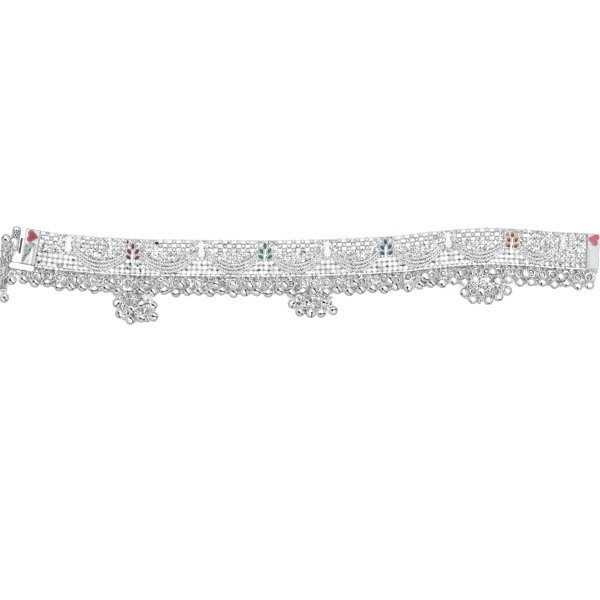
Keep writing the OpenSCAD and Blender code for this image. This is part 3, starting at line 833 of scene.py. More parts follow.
# Flecks of painted shade in the swags and the irregular patches: along the band, rows, the share that is
# there, how far they lean, their size, and their heights over a swag and elsewhere
PIT_PITCH = 1.6 * MM
PIT_ROWS = 19
PIT_SHARE = 0.86
PIT_LEAN = 0.6
PIT_SIZE = MM * np.array([0.31, 0.19, 0.16])
PIT_TOPS = (2.02 * MM, 1.82 * MM)
# Rows of the upper field, down from the plain edge, and of the lower field, up from the fringe
UPPER_ROW = 7.2 * MM
UPPER_ROWS = 7
LOWER_ROW = -6.3 * MM
LOWER_ROWS = 3
# Where the lower field ends beside the swags, and how far a swag laps over the links beside it
LOWER_TOP = -1.2 * MM
SWAG_LAP = 0.3 * MM
# How far the irregular patch reaches along the band from a motif, and over a swag
FINE_REACH = 4.7 * MM
FINE_BELT = 0.7 * MM
# Height under which the upper field is irregular all along
REGULAR_LOW = 2.6 * MM
# Where the upper and the lower field turn irregular towards the tongue
FINE_RIGHT = 98 * MM
LOW_FINE = 108 * MM
# Height over which no loose link lies
LOOSE_TOP = 7.35 * MM
# Where the irregular patch at the clasp has larger round links
ROUND_END = -95 * MM
# The longer stretch of it round the red motif
FINE_RED = (-93.5 * MM, -64 * MM)
# Gaps in the fabric, painted black for the shade in them.
# Columns: x, v, half length, half width in mm, turn in degrees
DARK_GAPS = np.array(
    [[-114.0, 7.5, 0.9, 0.22, -6], [-115.0, 1.5, 0.45, 0.35, 20], [-113.3, -0.8, 0.9, 0.26, -8],
     [-115.2, -1.3, 0.5, 0.3, 30], [-115.6, -5.9, 0.65, 0.55, 40], [-117.0, -7.6, 0.55, 0.22, 0],
     [-77.9, 6.5, 0.6, 0.4, 25], [-75.6, 7.9, 0.6, 0.18, 0], [-64.8, 6.4, 0.75, 0.6, 0],
     [-76.2, -3.2, 0.35, 0.75, 10], [-73.0, -3.8, 0.55, 0.45, -40], [-71.7, -5.9, 0.35, 0.8, 35],
     [-77.4, -5.0, 0.3, 0.8, 20]])
# Stray ones, and the ranges of their v, half length and half width in mm
STRAY_GAPS = 170
STRAY_RANGES = ((-7.2, 7.2), (0.22, 0.5), (0.14, 0.26))
# Dashes of painted shade along the lower rim: how far in from the edge, and half their width
DASH_ROWS = ((1.0 * MM, 0.2 * MM), (-0.1 * MM, 0.22 * MM))
# Heights of the single gaps, of the stray ones and of the dashes, and half their thickness
GAP_LEVELS = MM * np.array([1.56, 1.6, 1.55])
GAP_HIGH = 0.3 * MM


def pad_shape(cut_x, cut_y, square=False):
    """A bright-cut block 2 by 2 by 2 about the origin: a flat face inside a bevel. Its corners are cut off
    slanting, or cut out square."""
    quarter = np.array([[1, 1 - cut_y], [1 - cut_x, 1 - cut_y], [1 - cut_x, 1]])
    if not square:
        quarter = quarter[::2]
    outline = np.vstack([quarter, quarter[::-1] * [-1, 1], -quarter, quarter[::-1] * [1, -1]])
    levels = np.array([[0.86, -1], [1, -0.8], [1, 0.78], [0.86, 0.98]])
    height = np.broadcast_to(levels[:, 1:, None], (len(levels), len(outline), 1))
    return ringed(np.concatenate([levels[:, :1, None] * outline, height], -1), [0, 0, -1], [0, 0, 1])


def stud_shape():
    """A round link seen from its end, of radius 1: a ring with a groove and a bead inside it."""
    return domed(np.ones(10), [[1, -1], [1, 0.7], [0.86, 0.92], [0.68, 0.45], [0.52, 0.9], [0.3, 1.05]])


def bead_shape():
    """A small ball of radius 1 in three rings of six points."""
    tilt = np.radians([-45, 0, 45])[:, None]
    angle = circle_angles(6)[None, :]
    ring = np.stack(
        [np.cos(tilt) * np.cos(angle), np.cos(tilt) * np.sin(angle), np.sin(tilt) + 0 * angle], -1)
    return ringed(ring, [0, 0, -1], [0, 0, 1])


def field(pitch, row_pitch, first_row, rows):
    """Middles of a field's cells: columns of about the pitch all along the band, and rows from the first."""
    count = int(round((BAND_RIGHT - BAND_LEFT) / pitch))
    step = (BAND_RIGHT - BAND_LEFT) / count
    return np.meshgrid(BAND_LEFT + (np.arange(count) + 0.5) * step, first_row + np.arange(rows) * row_pitch)


def swag_zone(x, v):
    """Whether a place is under a swag, whether it belongs to the lower field, and its height over the swag's
    upper side."""
    share = swag_share(x)
    middle, half = swag_line(share)
    on_swag = (share > 0) & (share < 1)
    covered = on_swag & (np.abs(v - middle) < half - SWAG_LAP)
    lower = v < np.where(on_swag, np.minimum(middle, LOWER_TOP), LOWER_TOP)
    return covered, lower, np.where(on_swag, v - middle - half, BAND_EDGE)


def irregular_zone(x, v):
    """Whether a place is in an irregular patch: beside a motif or a swag, low in the upper field, round the
    red motif, or near the tongue."""
    covered, lower, over_swag = swag_zone(x, v)
    motif_near = np.abs(x[..., None] - MOTIF_X).min(-1)
    beside_end = (x > FINE_RED[0]) & (x < FINE_RED[1]) | (x > FINE_RIGHT)
    irregular = beside_end | (v < REGULAR_LOW) | (motif_near < FINE_REACH) | (np.abs(over_swag) < FINE_BELT)
    return ~covered & np.where(lower, x > LOW_FINE, irregular)


def upper_cells(sizes):
    """Middles of the upper field's cells, and which of them are round links, lie under a swag, or belong to
    the irregular patches."""
    x, v = field(sizes.pitch, -sizes.row_pitch, UPPER_ROW, UPPER_ROWS)
    odd = np.add.outer(np.arange(x.shape[0]), np.arange(x.shape[1])) % 2 == 1
    covered, lower, _ = swag_zone(x, v)
    fine = irregular_zone(x, v)
    shown = ~lower
    return x[shown], v[shown], odd[shown], covered[shown], fine[shown]


def spread_blocks(shape, x, v, low, high, half_long, half_wide, random, shade, lean=0.04):
    """Copies of a block 2 by 2 by 2 over the band, between two heights, each leaning a little its own way."""
    count = len(x)
    low, high, half_long, half_wide = (
        np.broadcast_to(value, count) for value in (low, high, half_long, half_wide))
    place = on_band(x, v, (low + high) / 2)
    size = np.stack([half_long, half_wide, (high - low) / 2], -1)
    tilt = turn(0, random.normal(0, lean, count)) @ turn(1, random.normal(0, lean, count))
    return copied(shape, place, band_axes(x) @ tilt * size[:, None, :], shade)


def link_fabric(sizes):
    """The fabric's links: pads and round links in turn over the upper field, with short dark bars of painted
    shade beside the round links, and pads side by side under the swags and motifs, whose cut-out corners
    leave small holes that dark flecks of painted shade fill."""
    random = np.random.default_rng(7)
    x, v, odd, covered, fine = upper_cells(sizes)
    pads = ~odd & ~fine
    shapes = [spread_blocks(
        pad_shape(0.16, 0.22), x[pads], v[pads], PAD_LOW, np.where(covered[pads], *PAD_TOPS),
        0.5 * sizes.pitch, sizes.pad_width / 2, random, random.beta(1.1, 16, pads.sum()))]
    studs = odd & ~fine
    count = studs.sum()
    shapes.append(spread_blocks(
        stud_shape(), x[studs], v[studs], STUD_LOW, np.where(covered[studs], *STUD_TOPS),
        sizes.stud_radius, sizes.stud_radius, random, random.beta(1.1, 20, count)))
    # Short dark bars of painted shade above and below each round link, in its gaps to the pads
    for side in (-1, 1):
        place = on_band(x[studs], v[studs] + side * sizes.row_pitch / 2, np.where(covered[studs], *BAR_TOPS))
        axes = band_axes(x[studs]) * BAR_SIZE
        shapes.append(copied(bead_shape(), place, axes, random.uniform(0.45, 0.95, count)))

    x, v = field(sizes.low_pitch, sizes.low_row_pitch, LOWER_ROW, LOWER_ROWS)
    covered, lower, _ = swag_zone(x, v)
    lower = lower & (x < LOW_FINE)
    count = lower.sum()
    shapes.append(spread_blocks(
        pad_shape(0.48, 0.33, True), x[lower], v[lower], PAD_LOW, np.where(covered[lower], *PAD_TOPS),
        sizes.low_pitch / 2 - 0.03 * MM, sizes.low_row_pitch / 2 - 0.06 * MM, random,
        random.beta(1.6, 14, count)))
    # Dark flecks of painted shade in the holes at the pads' corners
    corner_x, corner_v = x[lower] - sizes.low_pitch / 2, v[lower] - sizes.low_row_pitch / 2
    shift = random.normal(0, 0.12 * MM, (2, count))
    place = on_band(corner_x + shift[0], corner_v + shift[1], HOLE_Z)
    size = HOLE_SIZE * random.uniform(0.7, 1.15, (count, 1))
    axes = band_axes(corner_x) * size[:, None, :]
    shapes.append(copied(bead_shape(), place, axes, random.uniform(0.45, 1, count)))

    x, v = field(sizes.low_pitch, sizes.low_row_pitch, LOWER_ROW + sizes.low_row_pitch / 2, UNDER_ROWS)
    place = on_band(x.ravel(), v.ravel(), UNDER_SIZE)
    axes = band_axes(x.ravel()) * UNDER_SIZE
    shapes.append(copied(bead_shape(), place, axes, random.beta(2, 6, x.size)))
    return joined(shapes)


def tossed(random, count, lean):
    """Matrices of links that lie turned any way, each leaning a little out of the flat."""
    return turn(2, random.uniform(0, np.pi, count)) @ turn(0, random.normal(0, lean, count))


def fine_links(sizes):
    """The irregular patches: small oval links strewn over low pads, and larger round ones near the clasp."""
    random = np.random.default_rng(5)
    x, v, _, _, fine = upper_cells(sizes)
    low_x, low_v = field(sizes.low_pitch, sizes.low_row_pitch, LOWER_ROW, LOWER_ROWS)
    low = swag_zone(low_x, low_v)[1] & (low_x > LOW_FINE)
    x, v = np.append(x[fine], low_x[low]), np.append(v[fine], low_v[low])
    count = len(x)
    shapes = [spread_blocks(
        pad_shape(0.2, 0.3), x, v, STUD_LOW, FINE_TOP, 0.49 * sizes.pitch, 0.49 * sizes.row_pitch, random,
        random.uniform(0, 0.12, count))]
    small = wire_ring(*SMALL_LINK, 8, 4)
    for _ in range(FINE_LAYERS):
        shift = random.uniform(-1, 1, (2, count)) * MM
        level = random.uniform(1.56, 1.72, count) * MM
        place = on_band(x + shift[0], np.minimum(v + shift[1], LOOSE_TOP), level)
        shapes.append(copied(small, place, tossed(random, count, 0.3), random.beta(1.2, 12, count)))
    rounds = (x < ROUND_END) & (v > REGULAR_LOW)
    count = rounds.sum()
    place = on_band(x[rounds], v[rounds], BAR_TOPS[1])
    axes = tossed(random, count, 0.12)
    shapes.append(copied(wire_ring(*ROUND_LINK, 14, 5), place, axes, random.beta(1.2, 12, count)))
    return joined(shapes)


def painted_gap_shade():
    """Flat black flecks of painted shade that fill single gaps between the links, stray small ones, which are
    more towards the clasp, and a dash between each two links along both sides of the lower rim."""
    random = np.random.default_rng(17)
    single = (DARK_GAPS[:, :4] * MM).T
    stray_x = BAND_LEFT + (BAND_RIGHT - BAND_LEFT) * random.beta(0.9, 1.5, STRAY_GAPS)
    stray = np.stack([stray_x, *(random.uniform(*ends, STRAY_GAPS) * MM for ends in STRAY_RANGES)])
    dash_x = np.arange(BAND_LEFT + MM, BAND_RIGHT - MM, RIM_PITCH)
    dash_x = dash_x + random.normal(0, 0.15 * MM, len(dash_x))
    dashes = []
    for inwards, dash_half in DASH_ROWS:
        half = random.uniform(0.3, 0.65, len(dash_x)) * MM
        dashes.append(np.stack([dash_x, 0 * dash_x + inwards - BAND_EDGE, half, 0 * dash_x + dash_half]))
    x, v, half_long, half_wide = np.hstack([single, stray, *dashes])
    counts = (len(DARK_GAPS), STRAY_GAPS, 2 * len(dash_x))
    level = np.repeat(GAP_LEVELS, counts)
    lean = np.concatenate([DARK_GAPS[:, 4], random.uniform(-40, 40, STRAY_GAPS), np.zeros(counts[2])])
    shade = np.concatenate([np.ones(counts[0]), random.uniform(0.6, 1, counts[1] + counts[2])])
    axes = band_axes(x) @ turn(2, np.radians(lean))
    size = np.stack([half_long, half_wide, np.full(len(x), GAP_HIGH)], -1)
    return copied(pad_shape(0.5, 0.4), on_band(x, v, level), axes * size[:, None, :], shade)


def fabric_core():
    """The inside of the fabric: a flat bar along the band with fine wires over both its faces, whose grey
    paints the shade seen through the gaps between the links.
    """
    xs = np.linspace(BAND_LEFT + 0.2 * MM, BAND_RIGHT - 0.2 * MM, 120)
    bar = swept(on_band(xs, 0, CORE_Z), np.array([[1, -1], [1, 1], [-1, 1], [-1, -1]]) * CORE_HALF)
    wires = [
        swept(on_band(xs, v * MM, level * MM), oval(0.22 * MM, 0.16 * MM, 5))
        for v in CORE_WIRE_V for level in CORE_WIRE_Z]
    return joined([bar, *wires])


def rim_wire(side, half_wide, shade):
    """A rim of half-round wire along one edge of the fabric, which swells a little at each link that it
    holds, and the flat wire beside it that the links are soldered to. Only the lower rim's painted shade
    changes on its way."""
    xs = np.linspace(BAND_LEFT, BAND_RIGHT, 440)
    swell = 1 + 0.07 * np.cos(2 * np.pi * (xs - BAND_LEFT) / RIM_PITCH)
    outline = RIM_SECTION * [half_wide, RIM_HIGH] * swell[:, None, None]
    # Painted shade on the lower rim, changing in short stretches
    gaps = np.random.default_rng(41).choice(RIM_GAPS, len(xs) // 2).repeat(2)
    shade = shade + gaps[:, None].repeat(len(RIM_SECTION), 1) * (side < 0)
    wire = swept(on_band(xs, side * (BAND_EDGE - 0.02 * MM - half_wide), RIM_Z), outline, shade=shade)
    seat_path = on_band(xs[::4], side * (BAND_EDGE - 0.7 * MM), SEAT_Z)
    return joined([wire, swept(seat_path, RIM_SECTION * SEAT_HALF, shade=shade[::4])])


def rim_links():
    """The ends of the lowest links, which lap over the lower rim: short bright bars, none quite like the
    next."""
    random = np.random.default_rng(29)
    x = np.arange(BAND_LEFT + MM, BAND_RIGHT - MM, RIM_PITCH) + RIM_PITCH / 2
    count = len(x)
    v = -BAND_EDGE + 0.42 * MM + random.normal(0, 0.05 * MM, count)
    return spread_blocks(
        pad_shape(0.2, 0.5), x, v, 1.2 * MM, 2.14 * MM, random.uniform(0.8, 1.06, count) * MM,
        random.uniform(0.26, 0.38, count) * MM, random, random.beta(1.1, 14, count), 0.03)


def run_along(path):
    """Length of a path up to each of its points."""
    return np.append(0, np.cumsum(np.linalg.norm(np.diff(path, axis=0), axis=1)))


def swag_wires(sizes):
    """Swags of three flattened ropes with plain wires between them, side by side along a parabola. A rope is
    a wire whose oval section has two ridges that turn with its length: radius = 1 + 0.22 cos 2(angle -
    turn)."""
    random = np.random.default_rng(31)
    shapes = []
    angle = circle_angles(8)
    share = np.linspace(0, 1, 201)
    middle, half = swag_line(share)
    coarse = slice(None, None, 2)
    for start, end in zip(MOTIF_X[:-1] + SWAG_MARGIN, MOTIF_X[1:] - SWAG_MARGIN):
        xs = start + (end - start) * share
        for offset in ROPE_OFFSETS:
            path = on_band(xs, middle + offset * half, ROPE_Z)
            lean = 1 if offset else -1
            twist = lean * 2 * np.pi * run_along(path)[:, None] / sizes.hatch
            ridge = 1 + ROPE_RIDGE * np.cos(2 * angle - twist)
            wide = ROPE_WIDE * half[:, None] * ridge * np.cos(angle)
            high = ROPE_HIGH * ridge * np.sin(angle)
            groove = ROPE_OXIDE * eased(1.6 * (1 - ridge) / 0.5 + 0.3)
            shapes.append(swept(path, np.stack([wide, high], -1), shade=groove))
        for offset in WIRE_OFFSETS:
            path = on_band(xs[coarse], middle[coarse] + offset * half[coarse], WIRE_Z)
            # Painted shade on the plain wires in short stretches, chosen at random
            gap = np.repeat(random.choice(SWAG_GAPS, len(path) // 2 + 1), 2)[:len(path), None]
            shapes.append(swept(path, oval(0.16 * MM, 0.3 * MM, 6), shade=np.repeat(gap, 6, 1)))
    return joined(shapes)


def painted_pit_shade():
    """Painted shade between the ropes of the swags and the irregular links: small dark flecks in slanting
    rows, with some of them missing."""
    random = np.random.default_rng(37)
    x, v = field(PIT_PITCH, PIT_PITCH / 2, MM - BAND_EDGE, PIT_ROWS)
    x = x + PIT_PITCH / 2 * (np.arange(PIT_ROWS) % 2)[:, None]
    covered, _, _ = swag_zone(x, v)
    kept = (covered | irregular_zone(x, v)) & (random.random(x.shape) < PIT_SHARE)
    count = kept.sum()
    shift = random.normal(0, 0.12 * MM, (2, count))
    place = on_band(x[kept] + shift[0], v[kept] + shift[1], np.where(covered[kept], *PIT_TOPS))
    size = PIT_SIZE * random.uniform(0.7, 1.25, (count, 1))
    axes = turn(2, random.normal(PIT_LEAN, 0.3, count)) * size[:, None, :]
    return copied(bead_shape(), place, axes, random.uniform(0.45, 1, count))


# End plates and clasp


def chamfered(values, low, high, width):
    """How much a plate's face drops at each value: as much as the width at the two ends, and nothing further
    in."""
    inside = np.minimum(values - low, high - values)
    return width * (1 - np.clip(inside / width, 0, 1))


def trough_dip(u, v, middle):
    """Depth of the hollow trough: a circle's arc across the plate that fades out under the heart."""
    radius = TROUGH_W**2 / (8 * TROUGH_DEPTH) + TROUGH_DEPTH / 2
    off = np.abs(u - middle)
    arc = np.sqrt(np.maximum(radius**2 - off**2, 0)) - (radius - TROUGH_DEPTH)
    return np.where(off < TROUGH_W / 2, np.maximum(arc, 0), 0) * eased((TROUGH_END - v) / (0.5 * MM))


def plate_grid(low, high, marks, step):
    """Grid values from low to high: even steps and the marked places."""
    even = np.linspace(low, high, max(2, int(round((high - low) / step)) + 1))
    values = np.unique(np.round(np.concatenate([even, marks, [low, high]]) / MM, 3)) * MM
    return values[(values >= low - 1e-9) & (values <= high + 1e-9)]


def left_plate():
    """Trough plate and clasp box plate in one casting: a bright flat ridge and a groove where they meet, the
    clasp's slot with the box's back under it painted dark for the shade in the slot, a bay for the grip, and
    speckled dirt along the trough's outer side."""
    random = np.random.default_rng(3)
    end = -(TROUGH_PLATE_W + BOX_PLATE_W)
    edge = BAND_EDGE
    bay_v = GRIP_LOW - GAP
    ridge = -TROUGH_PLATE_W - RIDGE_OFF
    marks = [end + PLATE_ROUND, -PLATE_ROUND, BAY_U, SLOT_U - SLOT_W / 2, SLOT_U + SLOT_W / 2,
             ridge - 0.5 * MM, ridge - 0.36 * MM, ridge + 0.36 * MM, ridge + 0.5 * MM]
    us = plate_grid(end, 0, marks, 0.4 * MM)
    marks = [-edge + PLATE_ROUND, -edge + 0.4 * MM, SEAM - edge - 0.1 * MM, SEAM - edge, edge - PLATE_ROUND,
             bay_v, -SLOT_LEN / 2, SLOT_LEN / 2]
    vs = plate_grid(-edge, edge, marks, 0.4 * MM)
    u, v = np.meshgrid(us, vs)
    rim = np.maximum(chamfered(u, end, 0, PLATE_ROUND), chamfered(v, -edge, edge, PLATE_ROUND))
    top = np.where(u < -TROUGH_PLATE_W, BOX_T, PLATE_T)
    top = top - trough_dip(u, v, -TROUGH_PLATE_W / 2)
    top = top + RIDGE_UP * (np.abs(u - ridge) < 0.4 * MM)
    slot_rim = np.maximum(np.abs(u - SLOT_U) - SLOT_W / 2, np.abs(v) - SLOT_LEN / 2)
    top = top + SLOT_BORDER_UP * eased(1 - slot_rim / SLOT_BORDER)
    top = top - SEAM_DEPTH * (v < SEAM - edge - 0.05 * MM)
    cell_u, cell_v = np.meshgrid((us[1:] + us[:-1]) / 2, (vs[1:] + vs[:-1]) / 2)
    slot = (np.abs(cell_u - SLOT_U) < SLOT_W / 2) & (np.abs(cell_v) < SLOT_LEN / 2)
    bay = (cell_u < BAY_U) & (cell_v > bay_v)
    plate = slab(us, vs, top - rim, 0.8 * rim, ~(slot | bay))
    floor_us = np.linspace(SLOT_U - SLOT_W / 2 - 0.1 * MM, SLOT_U + SLOT_W / 2 + 0.1 * MM, 3)
    floor_vs = np.linspace(-SLOT_LEN / 2 - 0.1 * MM, SLOT_LEN / 2 + 0.1 * MM, 3)
    level = np.full((3, 3), SLOT_FLOOR)
    floor = slab(floor_us, floor_vs, level, 0.02 * level, np.ones((2, 2), bool))
    # Painted shade: the floor of the slot dark, as the slot's depth would shade it
    floor.shade = np.full(len(floor.points), SLOT_SHADE)
    x, y, z = plate.points.T
    trough = (x > -TROUGH_PLATE_W) & (z > 0.5 * PLATE_T)
    beyond = STAIN_TOP[0] + (y - STAIN_TOP[1]) * STAIN_LEAN - x
    stained = eased(beyond / (1.0 * MM) + 0.5) * eased((TROUGH_END - y) / (0.8 * MM))
    edge_line = eased(1 - np.abs(beyond - 0.7 * MM) / (1.1 * MM))
    speckle = random.beta(0.7, 1.1, len(x))
    fouled = stained * (0.2 + 0.25 * speckle + 0.55 * edge_line * speckle)
    seam = (y < SEAM - edge - 0.05 * MM) & (y > 0.3 * MM - edge) & (z > 0.5 * PLATE_T)
    plate.shade = SEAM_OXIDE * seam + trough * (0.2 + 0.2 * speckle + fouled)
    return joined([plate, floor])


def lip_shape():
    """The smooth lip: a strap with round ends and a pillow-shaped face, a stadium whose outline draws in as
    it rises."""
    half, radius = LIP_LEN / 2, LIP_W / 2
    angle = circle_angles(48)
    profile = np.array([[0.9, 0], [1, 0.12], [1, 0.6], [0.93, 0.84], [0.78, 0.96], [0.5, 1.0]])
    share, rise = profile.T[:, :, None]
    straight = (half - radius) * np.sign(np.cos(angle))
    x, y = straight + share * radius * np.cos(angle), share * radius * np.sin(angle)
    return ringed(np.stack([x, y, rise * LIP_T + 0 * angle], -1), [0, 0, 0], [0, 0, LIP_T])


def right_plate():
    """Sunk plate with a flat floor, rounded sides and a raised flat edge along both."""
    half = BAND_EDGE - 0.2 * MM
    width = RIGHT_PLATE_W
    side = (width - TROUGH_W) / 2
    marks = [0.2 * MM, width - 0.2 * MM, side, side + 0.2 * MM, side + 0.45 * MM, width - side,
             width - side - 0.2 * MM, width - side - 0.45 * MM]
    us = plate_grid(0, width, marks, 0.5 * MM)
    marks = [-half + 0.2 * MM, half - 0.2 * MM, -half + 0.5 * MM, -half + 0.7 * MM]
    vs = plate_grid(-half, half, marks, 0.4 * MM)
    u, v = np.meshgrid(us, vs)
    rim = np.maximum(chamfered(u, 0, width, 0.2 * MM), chamfered(v, -half, half, 0.2 * MM))
    across = eased((TROUGH_W / 2 - np.abs(u - width / 2)) / SUNK_EASE)
    along = eased((TROUGH_END - v) / (0.4 * MM)) * eased((v + half - 0.45 * MM) / (0.3 * MM))
    top = PLATE_T - SUNK * across * along
    return slab(us, vs, top - rim, 0.8 * rim, np.ones((len(vs) - 1, len(us) - 1), bool))


def grip_shape():
    """The round grip: a profile turned about its length, plain below and knurled above, with pits in rows
    round the barrel, each row half a pitch on from the one before. The pits are painted black for the shade
    in them, and the knurled part faintly grey."""
    around, rows = 96, 84
    length = np.linspace(0.5 * MM, GRIP_LEN - 1.4 * MM, rows)
    angle = circle_angles(around)
    turns = KNURL_AROUND * angle / (2 * np.pi)
    climb = length[:, None] / (2 * KNURL_PITCH)
    size = np.array([2 * np.pi * GRIP_R / KNURL_AROUND, 2 * KNURL_PITCH])
    off = [
        np.hypot(((turns + half) % 1 - 0.5) * size[0], ((climb + half) % 1 - 0.5) * size[1])
        for half in (0, 0.5)]
    knurled = eased((length - GRIP_PLAIN) / (0.3 * MM)) * eased((length[-1] - length) / (0.3 * MM))
    pit = eased((KNURL_PIT - np.minimum(*off)) / (0.08 * MM) + 0.5) * knurled[:, None]
    barrel = GRIP_R - 0.4 * MM * pit
    foot = np.array([[GRIP_R - 0.5 * MM, 0], [GRIP_R - 0.1 * MM, 0.15 * MM], [GRIP_R, 0.35 * MM]])
    head = np.array(
        [[GRIP_R, GRIP_LEN - 1.3 * MM], [GRIP_R * 0.93, GRIP_LEN - 0.9 * MM],
         [GRIP_R * 0.78, GRIP_LEN - 0.45 * MM], [GRIP_R * 0.4, GRIP_LEN - 0.12 * MM]])
    radii = np.vstack([foot[:, :1].repeat(around, 1), barrel, head[:, :1].repeat(around, 1)])
    heights = np.concatenate([foot[:, 1], length, head[:, 1]])[:, None].repeat(around, 1)
    # Painted shade: black in the pits, and a faint grey over the whole knurled part
    pit_shade = np.maximum(eased(1.5 * pit), 0.04 * knurled[:, None])
    dark = np.pad(pit_shade, ((len(foot), len(head)), (0, 0)))
    grid = np.stack([radii * np.cos(angle), radii * np.sin(angle), heights], -1)
    barrel_up = ringed(grid, [0, 0, 0], [0, 0, GRIP_LEN], shade=dark)
    return moved(barrel_up, [0, 0, 0], turn(0, -math.pi / 2))


def tongue_shape():
    """A flat spring tongue with cut corners and a raised rib along its middle."""
    half, tip, corner = TONGUE_W / 2, RIGHT_PLATE_W + TONGUE_OUT, 1.2 * MM
    marks = [tip - corner, tip - corner / 2, tip - 0.15 * MM]
    us = plate_grid(RIGHT_PLATE_W + 0.02 * MM, tip, marks, 0.3 * MM)
    ws = np.concatenate([[-1, -0.96], np.linspace(-0.86, 0.86, 15), [0.96, 1]])
    u, w = np.meshgrid(us, ws)
    width = half - corner * np.clip((u - (tip - corner)) / corner, 0, 1) ** 1.5
    edge = np.minimum(half * (1 - np.abs(w)), tip - u)
    rim = 0.15 * MM * (1 - np.clip(edge / (0.15 * MM), 0, 1))
    rib = 0.12 * MM * eased(1 - np.abs(w) / 0.2) * eased((tip - 0.8 * MM - u) / (0.4 * MM))
    top = TONGUE_Z + TONGUE_T - rim + rib - 0.12 * MM
    flat = slab(us, ws * half, top, TONGUE_Z + rim, np.ones((len(ws) - 1, len(us) - 1), bool))
    points = flat.points.copy()
    share = np.interp(points[:, 0], us, width[0] / half)
    points[:, 1] *= share
    return Shape(points, flat.quads)


def heart_radii(count):
    """Distance from a heart's middle to its outline: the furthest that a ray leaves its two lobes or the kite
    that runs from them to the point, which looks along +Y."""
    angle = circle_angles(count)
    lobe_x, lobe_y, lobe_r, point = 1.2 * MM, -0.9 * MM, 1.4 * MM, 2.6 * MM
    reach = np.maximum(*(circle_reach(angle, [side * lobe_x, lobe_y], lobe_r) for side in (-1, 1)))
    flank = math.radians(40)
    shoulder = np.array([lobe_x + lobe_r * math.cos(flank), lobe_y + lobe_r * math.sin(flank)])
    normal = np.array([point - shoulder[1], shoulder[0]])
    across = np.abs(np.cos(angle)) * normal[0] + np.sin(angle) * normal[1]
    kite = np.where(across > 0, point * shoulder[0] / np.maximum(across, 1e-9), 0)
    above = np.arctan2(np.sin(angle), np.abs(np.cos(angle))) > math.atan2(shoulder[1], shoulder[0])
    return np.where(above, np.maximum(kite, reach), reach)


def heart_enamel(growth):
    """A heart domed by surface tension: height falls from the middle as 1 - share^3. Its shade is the share
    of the way from the middle to the rim."""
    shares = np.array([1, 1, 0.93, 0.8, 0.62, 0.42, 0.2])
    heights = np.array([-0.1, 0.28, 0.42, 0.5, 0.56, 0.6, 0.62]) * MM
    shade = np.repeat(shares[:, None], 72, 1)
    return domed(heart_radii(72) * growth, np.stack([shares, heights], -1), shade)


def heart_cell(growth):
    """The silver wall round a heart's enamel, on a thin floor."""
    radii = heart_radii(72) * growth
    floor = domed(radii, [[0.98, -0.15 * MM], [0.98, 0.05 * MM]])
    return joined([floor, outlined(radii * 1.02, 0.2 * MM, 0.14 * MM)])


# Motifs


def leaf_radii(half_length, half_width, count):
    """Distance from a leaf's middle to its outline: the nearer of the ways out of two circles that cross at
    its tips, which lie along Y."""
    radius = (half_length**2 + half_width**2) / (2 * half_width)
    shift = radius - half_width
    angle = circle_angles(count)
    return np.minimum(*(circle_reach(angle, [side * shift, 0], radius) for side in (-1, 1)))


def leaf_frames():
    """Place in the motif and matrix of each leaf."""
    places = np.column_stack([LEAVES[:, :2] * MM, np.zeros(len(LEAVES))])
    return places, turn(2, np.radians(LEAVES[:, 2]))


def leaf_enamel():
    """Five domed leaves of enamel. Their shade climbs from 0 at the foot to 1 at the tip."""
    radii = leaf_radii(LEAF_HALF, LEAF_WIDE, 28)
    profile = [[1, 0.2 * MM], [1, 0.62 * MM], [0.86, 0.76 * MM], [0.6, 0.84 * MM], [0.3, 0.87 * MM]]
    leaf = domed(radii, profile)
    shade = np.clip(0.5 + leaf.points[:, 1] / (2 * LEAF_HALF), 0, 1)
    places, axes = leaf_frames()
    return copied(Shape(leaf.points, leaf.quads, leaf.triangles, shade), places, axes)


def leaf_casting():
    """The silver of a leaf motif: a seat and a rounded wall for each leaf, a stem and a twig to each leaf."""
    seat = domed(
        leaf_radii(LEAF_HALF + 0.18 * MM, LEAF_WIDE + 0.16 * MM, 28),
        [[0.97, -MOTIF_SEAT], [1, -MOTIF_SEAT + 0.1 * MM], [1, 0.45 * MM], [0.9, 0.55 * MM]])
    wall = outlined(leaf_radii(LEAF_HALF + 0.1 * MM, LEAF_WIDE + 0.1 * MM, 28), 0.55 * MM, 0.13 * MM)
    places, axes = leaf_frames()
    shapes = [copied(seat, places, axes), copied(wall, places, axes)]
    share = np.linspace(0, 1, 12)
    stem = np.stack(
        [-0.7 * MM * (1 - share) ** 3, (-4.5 + 5.8 * share) * MM, 0.42 * MM + 0 * share], -1)
    taper = (0.22 + 0.16 * np.sin(np.pi * share)) * MM
    shapes.append(swept(stem, oval(1, 0.75, 8) * taper[:, None, None]))
    shapes.append(swept(stem - [0, 0, 0.55 * MM], oval(1, 1.4, 6) * taper[:, None, None]))
    for (x, y, _), axis in zip(LEAVES[1:], axes[1:]):
        foot = np.array([x, y, 0]) * MM + axis @ np.array([0, -LEAF_HALF, 0])
        root = np.array([0, foot[1] - 0.9 * MM, 0])
        curve = root + (foot - root) * share[:, None] + 0.42 * MM * UP
        curve[:, 1] -= 0.22 * MM * np.sin(np.pi * share)
        shapes.append(swept(curve, oval(0.22 * MM, 0.26 * MM, 6)))
    return joined(shapes)


